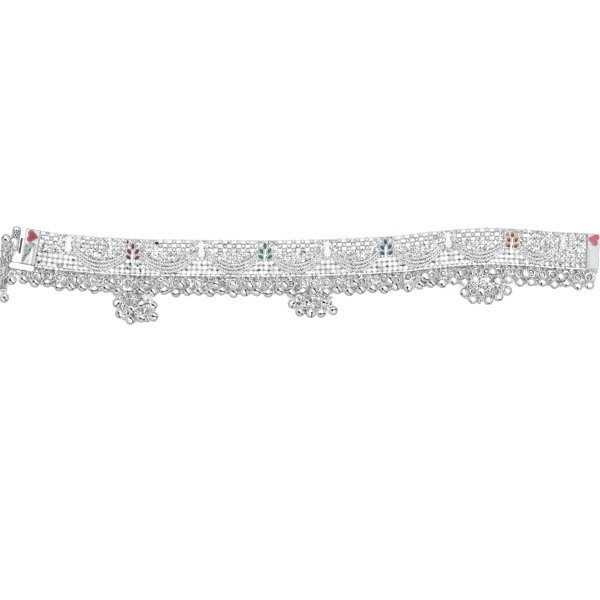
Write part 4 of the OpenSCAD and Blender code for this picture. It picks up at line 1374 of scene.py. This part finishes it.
def white_motif(dull):
    """A frosted casting of two plump lobes, a broad one over an egg-shaped one: domes with faintly fluted
    edges, radius = 1 + 0.03 cos(petals * angle), a shallow ring and a bead in the middle of each, and a
    neck."""
    shapes = []
    for y, half_wide, half_high, petals in WHITE_LOBES:
        angle = circle_angles(petals * 8)
        flute = 1 + 0.03 * np.cos(petals * angle)
        profile = [[0.97, -MOTIF_SEAT], [1, -MOTIF_SEAT + 0.1 * MM], [1, 0.3 * MM], [0.92, 0.52 * MM],
                   [0.75, 0.66 * MM], [0.5, 0.74 * MM], [0.4, 0.69 * MM], [0.3, 0.79 * MM], [0.15, 0.84 * MM]]
        dome = domed(flute, profile)
        points = dome.points * [half_wide * MM, half_high * MM, 1]
        reach = np.hypot(dome.points[:, 0], dome.points[:, 1])
        around = np.arctan2(dome.points[:, 1], dome.points[:, 0])
        ripple = 0.12 * MM * np.cos(petals * around) * eased((reach - 0.4) / 0.3) * (points[:, 2] > 0.3 * MM)
        points[:, 2] += ripple
        # Painted shade in the valleys of the flutes and in the shallow ring, added to the motif's own dulling
        valley_shade = 0.34 * eased(-ripple / (0.07 * MM)) + 0.38 * eased(1 - np.abs(reach - 0.42) / 0.1)
        lobe = Shape(points, dome.quads, dome.triangles, dull + (1 + dull) * valley_shade)
        shapes.append(moved(lobe, [0, y * MM, 0]))
    share = np.linspace(0, 1, 9)
    neck = np.stack([0 * share, (-0.2 + 1.6 * share) * MM, 0.12 * MM + 0 * share], -1)
    shapes.append(swept(neck, oval(1.0 * MM, 0.6 * MM, 10), shade=dull))
    return joined(shapes)


# Bells, rings and chains


def bell_globe(sizes):
    """A bell's globe with its mouth at -Y. Latitude b runs from one end of X to the other and longitude a
    round X from the mouth: point = r (sin b, -cos b cos a, cos b sin a). The surface is pushed in within the
    slit and the holes at its ends, which get shade 1, painted near black for the shade of the hollow inside,
    and out along the seam, where y is 0."""
    radius = sizes.radius
    up = np.array([4.0, 6.2, 12.4, 14.6, 19, 28, 44, 64])
    latitude = np.radians(np.concatenate([-up[::-1], up]))
    round_x = [0, 14, 28, 33.6, 36.4, 42, 48, 54, 59.6, 62.4, 70, 80, 85.2, 87.2, 92.8, 94.8, 101, 116, 136,
               158]
    longitude = np.radians(round_x + [180] + [-a for a in round_x[:0:-1]])
    b, a = np.meshgrid(latitude, longitude, indexing="ij")
    a_off = np.maximum(np.abs(a) - sizes.slit_angle, 0)
    hole_off = np.abs(np.abs(a) - sizes.slit_angle)
    slit = np.hypot(a_off, b) - sizes.slit_width / 2 / radius
    hole = np.hypot(hole_off, b) - sizes.hole_radius / radius
    sunk = eased(0.5 - np.minimum(slit, hole) / math.radians(2))
    seam = eased((SEAM_HALF - np.abs(radius * np.cos(b) * np.cos(a))) / (0.09 * MM))
    distance = radius - SLIT_DEPTH * sunk + sizes.seam_out * seam
    grid = distance[..., None] * np.stack([np.sin(b), -np.cos(b) * np.cos(a), np.cos(b) * np.sin(a)], -1)
    grid = grid[::-1]
    pole = radius + sizes.seam_out
    # Painted shade: the slit and holes near black, as the hollow inside would show
    return ringed(grid, [pole, 0, 0], [-pole, 0, 0], shade=eased(sunk[::-1] * 1.6))


def eye_reach(sizes):
    """From the middle of a bell to the middle of its eye."""
    return sizes.radius + sizes.eye_radius - EYE_SUNK


def bell_eye(sizes):
    """A bell's eye, upright over a small collar."""
    ring = wire_ring(sizes.eye_radius, sizes.eye_radius, sizes.eye_wire, 14, 6)
    ring = moved(ring, [0, eye_reach(sizes), 0], turn(1, math.pi / 2))
    collar = domed(np.full(10, 0.62 * MM), [[1, -0.2 * MM], [1, 0.12 * MM], [0.6, 0.24 * MM]])
    return joined([ring, moved(collar, [0, sizes.radius, 0], turn(0, -math.pi / 2))])


def bells(sizes, places, directions, tilts, rolls):
    """Bells at their places. A bell's eye points in its direction from +Y, its mouth is tilted up towards
    whoever looks down on it and turned aside, and its slit is rolled about its own length."""
    frame_axes = turn(2, directions) @ turn(0, -np.asarray(tilts, float))
    middle, spread = MOUTH_SWING
    swing = middle + spread * np.sin(SWING_STEP * np.arange(len(places)))
    along = places[:, 0] + MOUTH_STRAY * np.sin(STRAY_STEP * places[:, 0] / MM)
    down = eased((along - MOUTHS_DOWN[0]) / (MOUTHS_DOWN[1] - MOUTHS_DOWN[0]))
    lift = MOUTH_LIFT * (1 - MOUTH_FALL * down)
    globe_axes = frame_axes @ turn(1, swing) @ turn(0, -lift) @ turn(1, rolls)
    globes = copied(bell_globe(sizes), places, globe_axes)
    return joined([globes, copied(bell_eye(sizes), places, frame_axes)])


def rounded_route(points, per_stretch=8):
    """A smooth line through a route's points, in metres: Catmull-Rom, each stretch a cubic of four
    neighbours."""
    p = MM * np.array(points, float)
    p = np.vstack([p[:1], p, p[-1:]])
    t = (np.arange(per_stretch) / per_stretch)[None, :, None]
    a, b, c, d = (p[k:len(p) - 3 + k, None] for k in range(4))
    curve = (2 * b + (c - a) * t + (2 * a - 5 * b + 4 * c - d) * t**2 + (3 * b - a - 3 * c + d) * t**3) / 2
    return np.vstack([curve.reshape(-1, 3), p[-1:]])


def chain(path, half_long, half_wide, wire, first_roll=0.4, bells_beside=None, clear=0.0, shade=None):
    """Oval links end to end along a path, each turned a quarter about it from the one before. Links nearer
    than clear to the middle of one of the bells beside them are left out, as the bell hides them."""
    run = run_along(path)
    pitch = 2 * half_long - 1.2 * wire
    count = max(1, int(round(run[-1] / pitch)))
    at = (np.arange(count) + 0.5) * run[-1] / count
    place, before, after = (
        np.stack([np.interp(at + step, run, path[:, k]) for k in range(3)], -1)
        for step in (0, -half_long / 2, half_long / 2))
    along = unit(after - before)
    side = unit(np.cross(UP + 0.01 * ALONG, along))
    axes = np.stack([along, side, np.cross(along, side)], -1)
    roll = first_roll + np.arange(count) % 2 * np.pi / 2
    axes = axes @ turn(0, roll)
    if bells_beside is not None:
        away = np.linalg.norm(place[:, None] - bells_beside[None], axis=-1).min(1)
        place, axes = place[away > clear], axes[away > clear]
    if shade is not None:
        shade = shade * (0.6 + 0.8 * np.random.default_rng(count).random(len(place)))
    return copied(wire_ring(half_long, half_wide, wire, 14, 6), place, axes, shade)


def laid(shape):
    """A shape whose points under the table are brought up to it."""
    points = shape.points.copy()
    points[:, 2] = np.maximum(points[:, 2], FLOOR_CLEAR)
    return Shape(points, shape.quads, shape.triangles, shape.shade)


def strewn_links(places, random, shade):
    """Small oval links at places, each turned and leaning its own way."""
    count = len(places)
    return copied(wire_ring(*LOOSE_LINK, 10, 5), places, tossed(random, count, 0.6), shade)


def bell_table(first, last):
    """Places, directions and rolls of the bells of one bunch."""
    rows = BELLS[first:last]
    places = np.column_stack([rows[:, :2] * MM, np.full(len(rows), BELL_Z)])
    return places, np.radians(rows[:, 2]), np.radians(rows[:, 3])


def outwards(directions):
    """Unit vectors from bells towards their eyes, whose directions are counted from +Y."""
    return np.stack([-np.sin(directions), np.cos(directions), 0 * directions], -1)


def eye_places(sizes, places, directions):
    """Middle of each bell's eye."""
    return places + eye_reach(sizes) * outwards(directions)


def bunch_links(sizes, number):
    """The links of one bunch: a chain over the fringe, from its end a strand to each bell that runs low
    between the others, each bell's own jump ring, and loose links that fill the spaces between the bells in
    layers, the lowest greyed most with painted shade."""
    random = np.random.default_rng(20 + number)
    route = rounded_route(BUNCH_ROUTES[number])
    shapes = [chain(route, *BUNCH_LINK)]
    places, directions, _ = bell_table(*BUNCH_SPANS[number])
    eyes = eye_places(sizes, places, directions)
    hub = route[-1]
    share = np.linspace(0, 1, 24)[:, None]
    clear = sizes.radius + 0.3 * MM
    for k, eye in enumerate(eyes):
        strand = hub + (eye - hub) * share
        if np.linalg.norm(eye - hub) > sizes.radius:
            shapes.append(chain(strand, *STRAND_LINK, 0.4 + k, places, clear))
    ring = wire_ring(sizes.ring_radius * 0.9, sizes.ring_radius * 0.9, sizes.ring_wire * 0.95, 20, 7)
    lean = turn(2, directions) @ turn(0, 0.3 + 0.25 * np.cos(3.0 * np.arange(len(eyes))))
    shapes.append(copied(ring, eyes + outwards(directions) * 0.9 * MM + [0, 0, 0.5 * MM], lean))
    anchors = np.vstack([places, hub + MM * np.array(BUNCH_CORNERS), [hub, hub, route[-5]]])
    first, second = anchors[random.integers(0, len(anchors), (2, LOOSE_RINGS))]
    loose = (first + second) / 2 + random.normal(0, 0.5 * MM, (LOOSE_RINGS, 3))
    loose[:, 2] = random.uniform(*LOOSE_RING_Z, LOOSE_RINGS) * MM
    axes = tossed(random, LOOSE_RINGS, 0.5)
    shapes.append(copied(ring, loose, axes, random.uniform(0, 0.35, LOOSE_RINGS)))
    # Painted shade: each layer greyer the lower it lies among the bells
    for low, high, least, most in BUNCH_LAYERS:
        first, second = anchors[random.integers(0, len(anchors), (2, BUNCH_FILL))]
        spot = first + (second - first) * random.uniform(0.1, 0.9, (BUNCH_FILL, 1))
        spot[:, :2] += random.normal(0, 0.7 * MM, (BUNCH_FILL, 2))
        spot[:, 2] = random.uniform(low, high, BUNCH_FILL) * MM
        off = spot[:, None] - places[None]
        away = np.linalg.norm(off, axis=-1).min(1)
        beside = np.hypot(off[..., 0], off[..., 1]).min(1)
        spot = spot[(away > sizes.radius + 0.45 * MM) & (beside > 1.5 * MM)]
        shapes.append(strewn_links(spot, random, random.uniform(least, most, len(spot))))
    return laid(joined(shapes))


def safety_links(sizes):
    """The safety chain beside the clasp: strands laid round one another in a flat helix, side = reach
    cos(turn) and lift = rise sin(turn), and shorter strands over the grip to the box and to the bells."""
    route = rounded_route(SAFETY_ROUTE)
    share = np.linspace(0, 1, len(route))
    shapes = []
    for k in range(SAFETY_STRANDS):
        phase = 2 * np.pi * (k / SAFETY_STRANDS + SAFETY_TURNS * share)
        reach = SAFETY_REACH[0] + (SAFETY_REACH[1] - SAFETY_REACH[0]) * share
        path = route + np.stack([reach * np.cos(phase), 0 * phase, SAFETY_RISE * np.sin(phase)], -1)
        shapes.append(chain(path, *SAFETY_LINK, 0.3 + k, shade=0.1 + 0.06 * k))
    for k, strand in enumerate(CLASP_STRANDS):
        shapes.append(chain(rounded_route(strand), *CLASP_LINK, 0.3 + k, shade=0.2))
    places, directions, _ = bell_table(*CLASP_SPAN)
    ring = wire_ring(sizes.ring_radius * 0.8, sizes.ring_radius * 0.8, sizes.ring_wire * 0.9, 18, 7)
    eyes = eye_places(sizes, places, directions)
    shapes.append(copied(ring, eyes + [0, 0, 0.2 * MM], turn(2, directions) @ turn(0, np.full(3, 0.5))))
    under = MM * np.array(LIP_CROWNS)
    # Painted shade: the end-on bells under the lip greyed a little
    shapes.append(copied(crown_shape(), under, turn(0, np.full(len(under), 0.15)), np.full(len(under), 0.2)))
    return laid(joined(shapes))


def fringe_bells(sizes, first, last, random):
    """Bells of one stretch of the fringe: one under each hanging point, and one over the rings at every
    third."""
    i = np.arange(first, last + 1)
    layers = (
        (i, BELL_Z, BELL_DROPS[i % len(BELL_DROPS)], 0.2, (0.35, 0.5)),
        (upper_points(first, last), UPPER_Z, UPPER_DROP, 0.35, (0.4, 0.8)))
    shapes = []
    for at, level, drop, stray, tilts in layers:
        places = on_band(FRINGE_START + at * FRINGE_PITCH, -BAND_EDGE, level)
        places[:, 1] -= drop
        count = len(at)
        shapes.append(bells(
            sizes, places, random.normal(0, stray, count), random.uniform(*tilts, count),
            random.normal(*SLIT_ROLL, count)))
    return joined(shapes)


def upper_points(first, last):
    """Hanging points, halfway between the others, of the bells that lie over the rings."""
    i = np.arange(first, last)
    return i[i % UPPER_EVERY == 1] + 0.5


def crown_shape():
    """A bell seen from its eye: a low dome with a rim rubbed round and a small ring on it."""
    profile = [[0.9, -0.4 * MM], [1, -0.2 * MM], [0.97, 0.05 * MM], [0.8, 0.35 * MM], [0.5, 0.55 * MM]]
    dome = domed(np.full(16, CROWN_RADIUS), profile)
    return joined([dome, moved(wire_ring(0.72 * MM, 0.66 * MM, 0.2 * MM, 12, 5), [0, 0, 0.72 * MM])])


def fringe_rings(sizes, first, last, random):
    """Rings of one stretch of the fringe: a jump ring with an end-on bell under each hanging point, greyed
    with painted shade, the small links that hold it to the rim and its neighbours over tie wires painted dark
    in stretches for the shade under them, low links between the bells greyed with painted shade, and an
    upright ring for each bell that lies over them."""
    i = np.arange(first, last + 1)
    edge = on_band(FRINGE_START + i * FRINGE_PITCH, -BAND_EDGE, 0.0)
    count = len(i)
    jump = wire_ring(sizes.ring_radius, sizes.ring_radius, sizes.ring_wire, 24, 7)
    lean = turn(0, random.normal(0, 0.1, count)) @ turn(1, random.normal(0, 0.1, count))
    shift = random.normal(0, 0.2, (count, 3)) * [MM, MM, 0]
    shapes = [copied(jump, edge + shift + [0, -RING_DROP, RING_Z], lean)]
    # Painted shade: each end-on bell, low inside its ring, greyed by its own share
    crown_painted_shade = random.uniform(0.1, 0.45, count)
    shapes.append(copied(crown_shape(), edge + shift + [0, -RING_DROP, CROWN_Z], lean, crown_painted_shade))
    link = wire_ring(*FRINGE_LINK, 12, 6)
    for row in FRINGE_LINKS:
        x, drop, z, swing, lean = (row + FRINGE_LINK_JITTER * random.normal(0, 1, (count, len(row)))).T
        place = edge + MM * np.stack([x, -drop, z], -1)
        axes = turn(2, np.radians(swing)) @ turn(0, np.radians(lean))
        shapes.append(copied(link, place, axes, random.beta(1.2, 6, count)))
    xs = np.linspace(FRINGE_START + first * FRINGE_PITCH, FRINGE_START + last * FRINGE_PITCH, 6 * count)
    # Painted shade: the tie wires dark and light in turn along the fringe, under the small links
    stripes = 0.45 + 0.3 * np.sign(np.sin(2 * np.pi * (xs - FRINGE_START) / TIE_PITCH))
    stripes = stripes[:, None].repeat(6, 1)
    for drop in TIE_DROPS:
        path = on_band(xs, -BAND_EDGE - drop, TIE_Z)
        shapes.append(swept(path, oval(0.3 * MM, 0.26 * MM, 6), shade=stripes))
    middles = on_band(FRINGE_START + (i[:-1] + 0.5) * FRINGE_PITCH, -BAND_EDGE, 0.0)
    # Painted shade: the low links between the bells greyed by their own shares
    for drop, z, long_half in BETWEEN_BELLS:
        place = middles + random.normal(0, 0.22, (count - 1, 3)) * [MM, MM, 0] + [0, -drop * MM, z * MM]
        axes = turn(2, random.normal(0.9, 0.5, count - 1)) @ turn(0, random.normal(0.6, 0.3, count - 1))
        filler = wire_ring(long_half * MM, 0.8 * long_half * MM, 0.24 * MM, 14, 6)
        shapes.append(copied(filler, place, axes, random.uniform(0.15, 0.6, count - 1)))
    up = upper_points(first, last)
    edge = on_band(FRINGE_START + up * FRINGE_PITCH, -BAND_EDGE, 0.0)
    upright = turn(2, random.normal(0, 0.2, len(up))) @ turn(1, np.full(len(up), math.pi / 2))
    hanger = wire_ring(UPRIGHT_RADIUS, UPRIGHT_RADIUS, sizes.ring_wire, 20, 6)
    shapes.append(copied(hanger, edge + [0, -UPRIGHT_DROP, UPRIGHT_Z], upright))
    return laid(joined(shapes))


# Operators


class PayalOperator:
    """What the payal's operators share."""

    bl_options = {"REGISTER", "UNDO"}


class PAYAL_OT_fabric(PayalOperator, bpy.types.Operator):
    """Build the link fabric with its dark core, rims and swags"""

    bl_idname = "payal.fabric"
    bl_label = "Link fabric and swags"

    def execute(self, context):
        sizes, finish = context.scene.payal_fabric, context.scene.payal_finish
        links, wire = "bright_cut_silver_links", "drawn_silver_wire"
        pieces = [
            ("fabric_links", link_fabric(sizes), links, 22),
            ("fabric_core", fabric_core(), "silver_core_painted_shade", 35),
            ("fabric_swags", swag_wires(sizes), "twisted_silver_rope", 35),
            ("painted_pit_shade", painted_pit_shade(), links, 60),
            ("fine_links", fine_links(sizes), links, 50),
            ("painted_gap_shade", painted_gap_shade(), links, 35),
            ("rim_top", rim_wire(1, 0.24 * MM, 0.3), wire, 35),
            ("rim_bottom", rim_wire(-1, 0.3 * MM, 0.0), wire, 35),
            ("rim_links", rim_links(), links, 22)]
        for name, shape, metal, crease in pieces:
            add_piece(name, shape, silver_metal(metal, finish), ["mesh_band"], crease=crease)
        return {"FINISHED"}


class PAYAL_OT_clasp(PayalOperator, bpy.types.Operator):
    """Build the end plates, the knurled grip and the tongue"""

    bl_idname = "payal.clasp"
    bl_label = "End plates and clasp"

    def execute(self, context):
        finish = context.scene.payal_finish
        left, right = BAND_LEFT - GAP, BAND_RIGHT + GAP
        lip_place = (LIP_LEFT + LIP_LEN / 2, LIP_OVER - BAND_EDGE - LIP_W / 2, LIP_LOW)
        grip_place = (GRIP_U, GRIP_LOW, GRIP_R)
        sheet = "planished_silver_sheet"
        pieces = [
            ("clasp_box", left_plate(), left, (), sheet, "end_plate_left", 25),
            ("clasp_lip", lip_shape(), left, lip_place, "bright_dipped_silver", "end_plate_left", 35),
            ("tongue_plate", right_plate(), right, (), "satin_silver_sheet", "end_plate_right", 25),
            ("grip", grip_shape(), left, grip_place, sheet, "knurled_grip", 35),
            ("spring_tongue", tongue_shape(), right, (), sheet, "clasp_tongue", 25)]
        for name, shape, x, place, metal, node, crease in pieces:
            add_piece(name, at_band(shape, x, *place), silver_metal(metal, finish), [node], crease=crease)
        return {"FINISHED"}


class PAYAL_OT_hearts(PayalOperator, bpy.types.Operator):
    """Build the enamel hearts in their silver cells"""

    bl_idname = "payal.hearts"
    bl_label = "Enamel hearts"

    def execute(self, context):
        finish = context.scene.payal_finish
        sheet = silver_metal("planished_silver_sheet", finish)
        deep = enamel(
            "deep_red_enamel", finish.heart, finish.heart_light, linear("#8a3342"), 0.62, 0.9 * MM, 0.5)
        rose = enamel("rose_red_enamel", finish.heart_light, finish.heart, linear("#d88c96"), 1.0, 0.9 * MM)
        ends = (
            ("heart_left", BAND_LEFT - GAP, -TROUGH_PLATE_W / 2 + 0.1 * MM, 4.9 * MM, -92, 1.05, deep),
            ("heart_right", BAND_RIGHT + GAP, RIGHT_PLATE_W / 2 - 0.1 * MM, 5.2 * MM, 75, 1.02, rose))
        for node, x, u, v, degrees, growth, red in ends:
            axes = turn(2, math.radians(degrees))
            level = PLATE_T + 0.1 * MM
            add_piece(f"{node}_enamel", at_band(heart_enamel(growth), x, u, v, level, axes), red, [node])
            cell = at_band(heart_cell(growth), x, u, v, level, axes)
            add_piece(f"{node}_cell", cell, sheet, [node])
        return {"FINISHED"}


class PAYAL_OT_leaf_motifs(PayalOperator, bpy.types.Operator):
    """Build the four leaf motifs: silver castings and enamel leaves"""

    bl_idname = "payal.leaf_motifs"
    bl_label = "Leaf motifs"

    def execute(self, context):
        finish = context.scene.payal_finish
        for x, v, colour in zip(LEAF_X, LEAF_V, LEAF_COLOURS):
            node = f"leaf_motif_{colour}"
            base, tip = getattr(finish, colour), getattr(finish, f"{colour}_tip")
            glass = enamel(f"{colour}_leaf_enamel", base, tip, base, LEAF_TURN[colour])
            add_piece(f"leaves_{colour}", at_band(leaf_enamel(), x, 0, v, MOTIF_Z), glass, [node])
            casting = at_band(leaf_casting(), x, 0, v, MOTIF_Z)
            metal = silver_metal("bright_dipped_silver", finish)
            add_piece(f"leaf_casting_{colour}", casting, metal, [node])
        return {"FINISHED"}


class PAYAL_OT_white_motifs(PayalOperator, bpy.types.Operator):
    """Build the five frosted white motifs"""

    bl_idname = "payal.white_motifs"
    bl_label = "White motifs"

    def execute(self, context):
        material = silver_metal("frosted_white_silver", context.scene.payal_finish)
        for number, (x, dull) in enumerate(zip(WHITE_X, WHITE_DULL), 1):
            shape = at_band(white_motif(dull), x, 0, WHITE_V, MOTIF_Z)
            add_piece(f"rosettes_{number}", shape, material, [f"white_motif_{number}"])
        return {"FINISHED"}


class PAYAL_OT_fringe(PayalOperator, bpy.types.Operator):
    """Build the fringe of bells and jump rings along the lower edge"""

    bl_idname = "payal.fringe"
    bl_label = "Bell fringe"

    def execute(self, context):
        sizes, finish = context.scene.payal_bells, context.scene.payal_finish
        random = np.random.default_rng(11)
        for number, (first, last) in enumerate(FRINGE_SPANS, 1):
            node = f"fringe_{number}"
            hung = fringe_bells(sizes, first, last, random)
            add_piece(f"fringe_bells_{number}", hung, silver_metal("polished_stamped_silver", finish), [node])
            rings = fringe_rings(sizes, first, last, random)
            add_piece(f"fringe_rings_{number}", rings, silver_metal("drawn_silver_wire", finish), [node])
        return {"FINISHED"}


class PAYAL_OT_bunches(PayalOperator, bpy.types.Operator):
    """Build the bells of the three bunches and of the clasp"""

    bl_idname = "payal.bunches"
    bl_label = "Bells of the bunches"

    def execute(self, context):
        sizes, finish = context.scene.payal_bells, context.scene.payal_finish
        metal = silver_metal("polished_stamped_silver", finish)
        places, directions, rolls = bell_table(0, len(BELLS))
        tilts = 0.2 + 0.1 * np.sin(2.4 * np.arange(len(BELLS)))
        for k in range(len(BELLS)):
            one = slice(k, k + 1)
            shape = bells(sizes, places[one], directions[one], tilts[one], -rolls[one])
            add_piece(f"ghungroo_{k + 1}", shape, metal, [f"bell_{k + 1}"])
        return {"FINISHED"}


class PAYAL_OT_chains(PayalOperator, bpy.types.Operator):
    """Build the fine chains of the bunches and the safety chain"""

    bl_idname = "payal.chains"
    bl_label = "Chains"

    def execute(self, context):
        sizes, finish = context.scene.payal_bells, context.scene.payal_finish
        wire = silver_metal("drawn_silver_wire", finish)
        for number in range(len(BUNCH_ROUTES)):
            links = bunch_links(sizes, number)
            add_piece(f"bunch_links_{number + 1}", links, wire, [f"bunch_chain_{number + 1}"])
        add_piece("safety_links", safety_links(sizes), wire, ["safety_chain"])
        return {"FINISHED"}


class PAYAL_OT_stage(PayalOperator, bpy.types.Operator):
    """Lay the paper and set the lights and the camera"""

    bl_idname = "payal.stage"
    bl_label = "Stage"

    def execute(self, context):
        stage = context.scene.payal_stage
        lay_floor(stage)
        light_tent(stage)
        for name, place, size in SOFT_BOXES:
            soft_box(name, place, size, stage.box_power)
        set_camera(stage)
        context.scene.view_settings.view_transform = "Standard"
        return {"FINISHED"}


# Stage

FLOOR_HALF = 6.0
# From the anklet's lowest points down to the paper
FLOOR_GAP = 0.02 * MM
# Power with which the tent's light falls from overhead to underneath
SKY_FALL = 3.0
# Name, place and side of each soft box
SOFT_BOXES = [
    ("soft_box_left", (-0.55, 0.35, 0.8), 0.45),
    ("soft_box_right", (0.5, -0.45, 0.85), 0.4),
    ("soft_box_back", (0.1, 0.75, 0.6), 0.35)]
# The picture is 264 mm wide, and its middle lies here on the table
FRAME_WIDTH = 264 * MM
FRAME_MIDDLE = (-1.76 * MM, -11.44 * MM, 0.0)
SENSOR = 36.0


def lay_floor(stage):
    """A wide flat sheet of paper, just under the anklet's lowest points. It lights the metal but isn't
    mirrored in it, so that rounded metal keeps the tent's grey edges."""
    half = FLOOR_HALF
    corners = np.array([[-half, -half, 0], [half, -half, 0], [half, half, 0], [-half, half, 0]])
    mesh = bpy.data.meshes.new("paper_floor")
    mesh.from_pydata((corners - [0, 0, FLOOR_GAP]).tolist(), [], [(0, 1, 2, 3)])
    mesh.materials.append(paper("white_studio_paper", stage.floor))
    floor = bpy.data.objects.new("paper_floor", mesh)
    bpy.context.scene.collection.objects.link(floor)
    floor.visible_glossy = False


def light_tent(stage):
    """A pale tent all round: bright overhead and greyer towards the table, which draws dark edges on the
    metal."""
    world = bpy.data.worlds.new("pale_tent")
    world.use_nodes = True
    tree = world.node_tree
    tree.nodes.clear()
    place = add_node(tree, "ShaderNodeTexCoord").outputs["Generated"]
    height = add_node(tree, "ShaderNodeSeparateXYZ", inputs={0: place}).outputs["Z"]
    upward = add_node(
        tree, "ShaderNodeMapRange", inputs={"Value": height, "From Min": -1.0, "From Max": 1.0})
    fall = add_node(tree, "ShaderNodeMath", {"operation": "POWER"}, {0: upward, 1: SKY_FALL})
    levels = {"Value": fall, "To Min": stage.horizon, "To Max": stage.sky}
    brightness = add_node(tree, "ShaderNodeMapRange", inputs=levels)
    background = add_node(
        tree, "ShaderNodeBackground", inputs={"Color": (1.0, 1.0, 1.0, 1), "Strength": brightness})
    add_node(tree, "ShaderNodeOutputWorld", inputs={"Surface": background})
    bpy.context.scene.world = world


def soft_box(name, place, size, power):
    """A square lamp that faces the anklet."""
    lamp = bpy.data.lights.new(name, "AREA")
    lamp.energy = power
    lamp.size = size
    holder = bpy.data.objects.new(name, lamp)
    holder.location = place
    holder.rotation_euler = (-Vector(place)).to_track_quat("-Z", "Y").to_euler()
    bpy.context.scene.collection.objects.link(holder)


def set_camera(stage):
    """A long lens straight above the table, as wide as the picture."""
    lens = bpy.data.cameras.new("camera")
    lens.sensor_width = SENSOR
    lens.lens = SENSOR * stage.camera_height / FRAME_WIDTH
    camera = bpy.data.objects.new("camera", lens)
    camera.location = Vector(FRAME_MIDDLE) + Vector((0, 0, stage.camera_height))
    bpy.context.scene.collection.objects.link(camera)
    bpy.context.scene.camera = camera


class PAYAL_PT_panel(bpy.types.Panel):
    """Lists the payal's pieces in the sidebar"""

    bl_label = "Ghungroo Payal"
    bl_idname = "PAYAL_PT_panel"
    bl_space_type = "VIEW_3D"
    bl_region_type = "UI"
    bl_category = "Payal"

    def draw(self, context):
        for settings in GROUPS:
            group = getattr(context.scene, settings)
            box = self.layout.box()
            for key in type(group).__annotations__:
                box.prop(group, key)
        for operator in OPERATORS:
            self.layout.operator(operator.bl_idname)


GROUPS = {
    "payal_fabric": PayalFabric, "payal_bells": PayalBells, "payal_finish": PayalFinish,
    "payal_stage": PayalStage}
OPERATORS = [
    PAYAL_OT_fabric, PAYAL_OT_clasp, PAYAL_OT_hearts, PAYAL_OT_leaf_motifs, PAYAL_OT_white_motifs,
    PAYAL_OT_fringe, PAYAL_OT_bunches, PAYAL_OT_chains, PAYAL_OT_stage]


def register():
    """Registers the settings, the operators and the panel."""
    for name, group in GROUPS.items():
        bpy.utils.register_class(group)
        setattr(bpy.types.Scene, name, bpy.props.PointerProperty(type=group))
    for operator in OPERATORS:
        bpy.utils.register_class(operator)
    bpy.utils.register_class(PAYAL_PT_panel)


def unregister():
    """Takes back what register did."""
    bpy.utils.unregister_class(PAYAL_PT_panel)
    for operator in reversed(OPERATORS):
        bpy.utils.unregister_class(operator)
    for name, group in GROUPS.items():
        delattr(bpy.types.Scene, name)
        bpy.utils.unregister_class(group)


def main():
    """Builds every piece and the stage."""
    register()
    for operator in OPERATORS:
        group, name = operator.bl_idname.split(".")
        getattr(getattr(bpy.ops, group), name)()


if __name__ == "__main__":
    main()
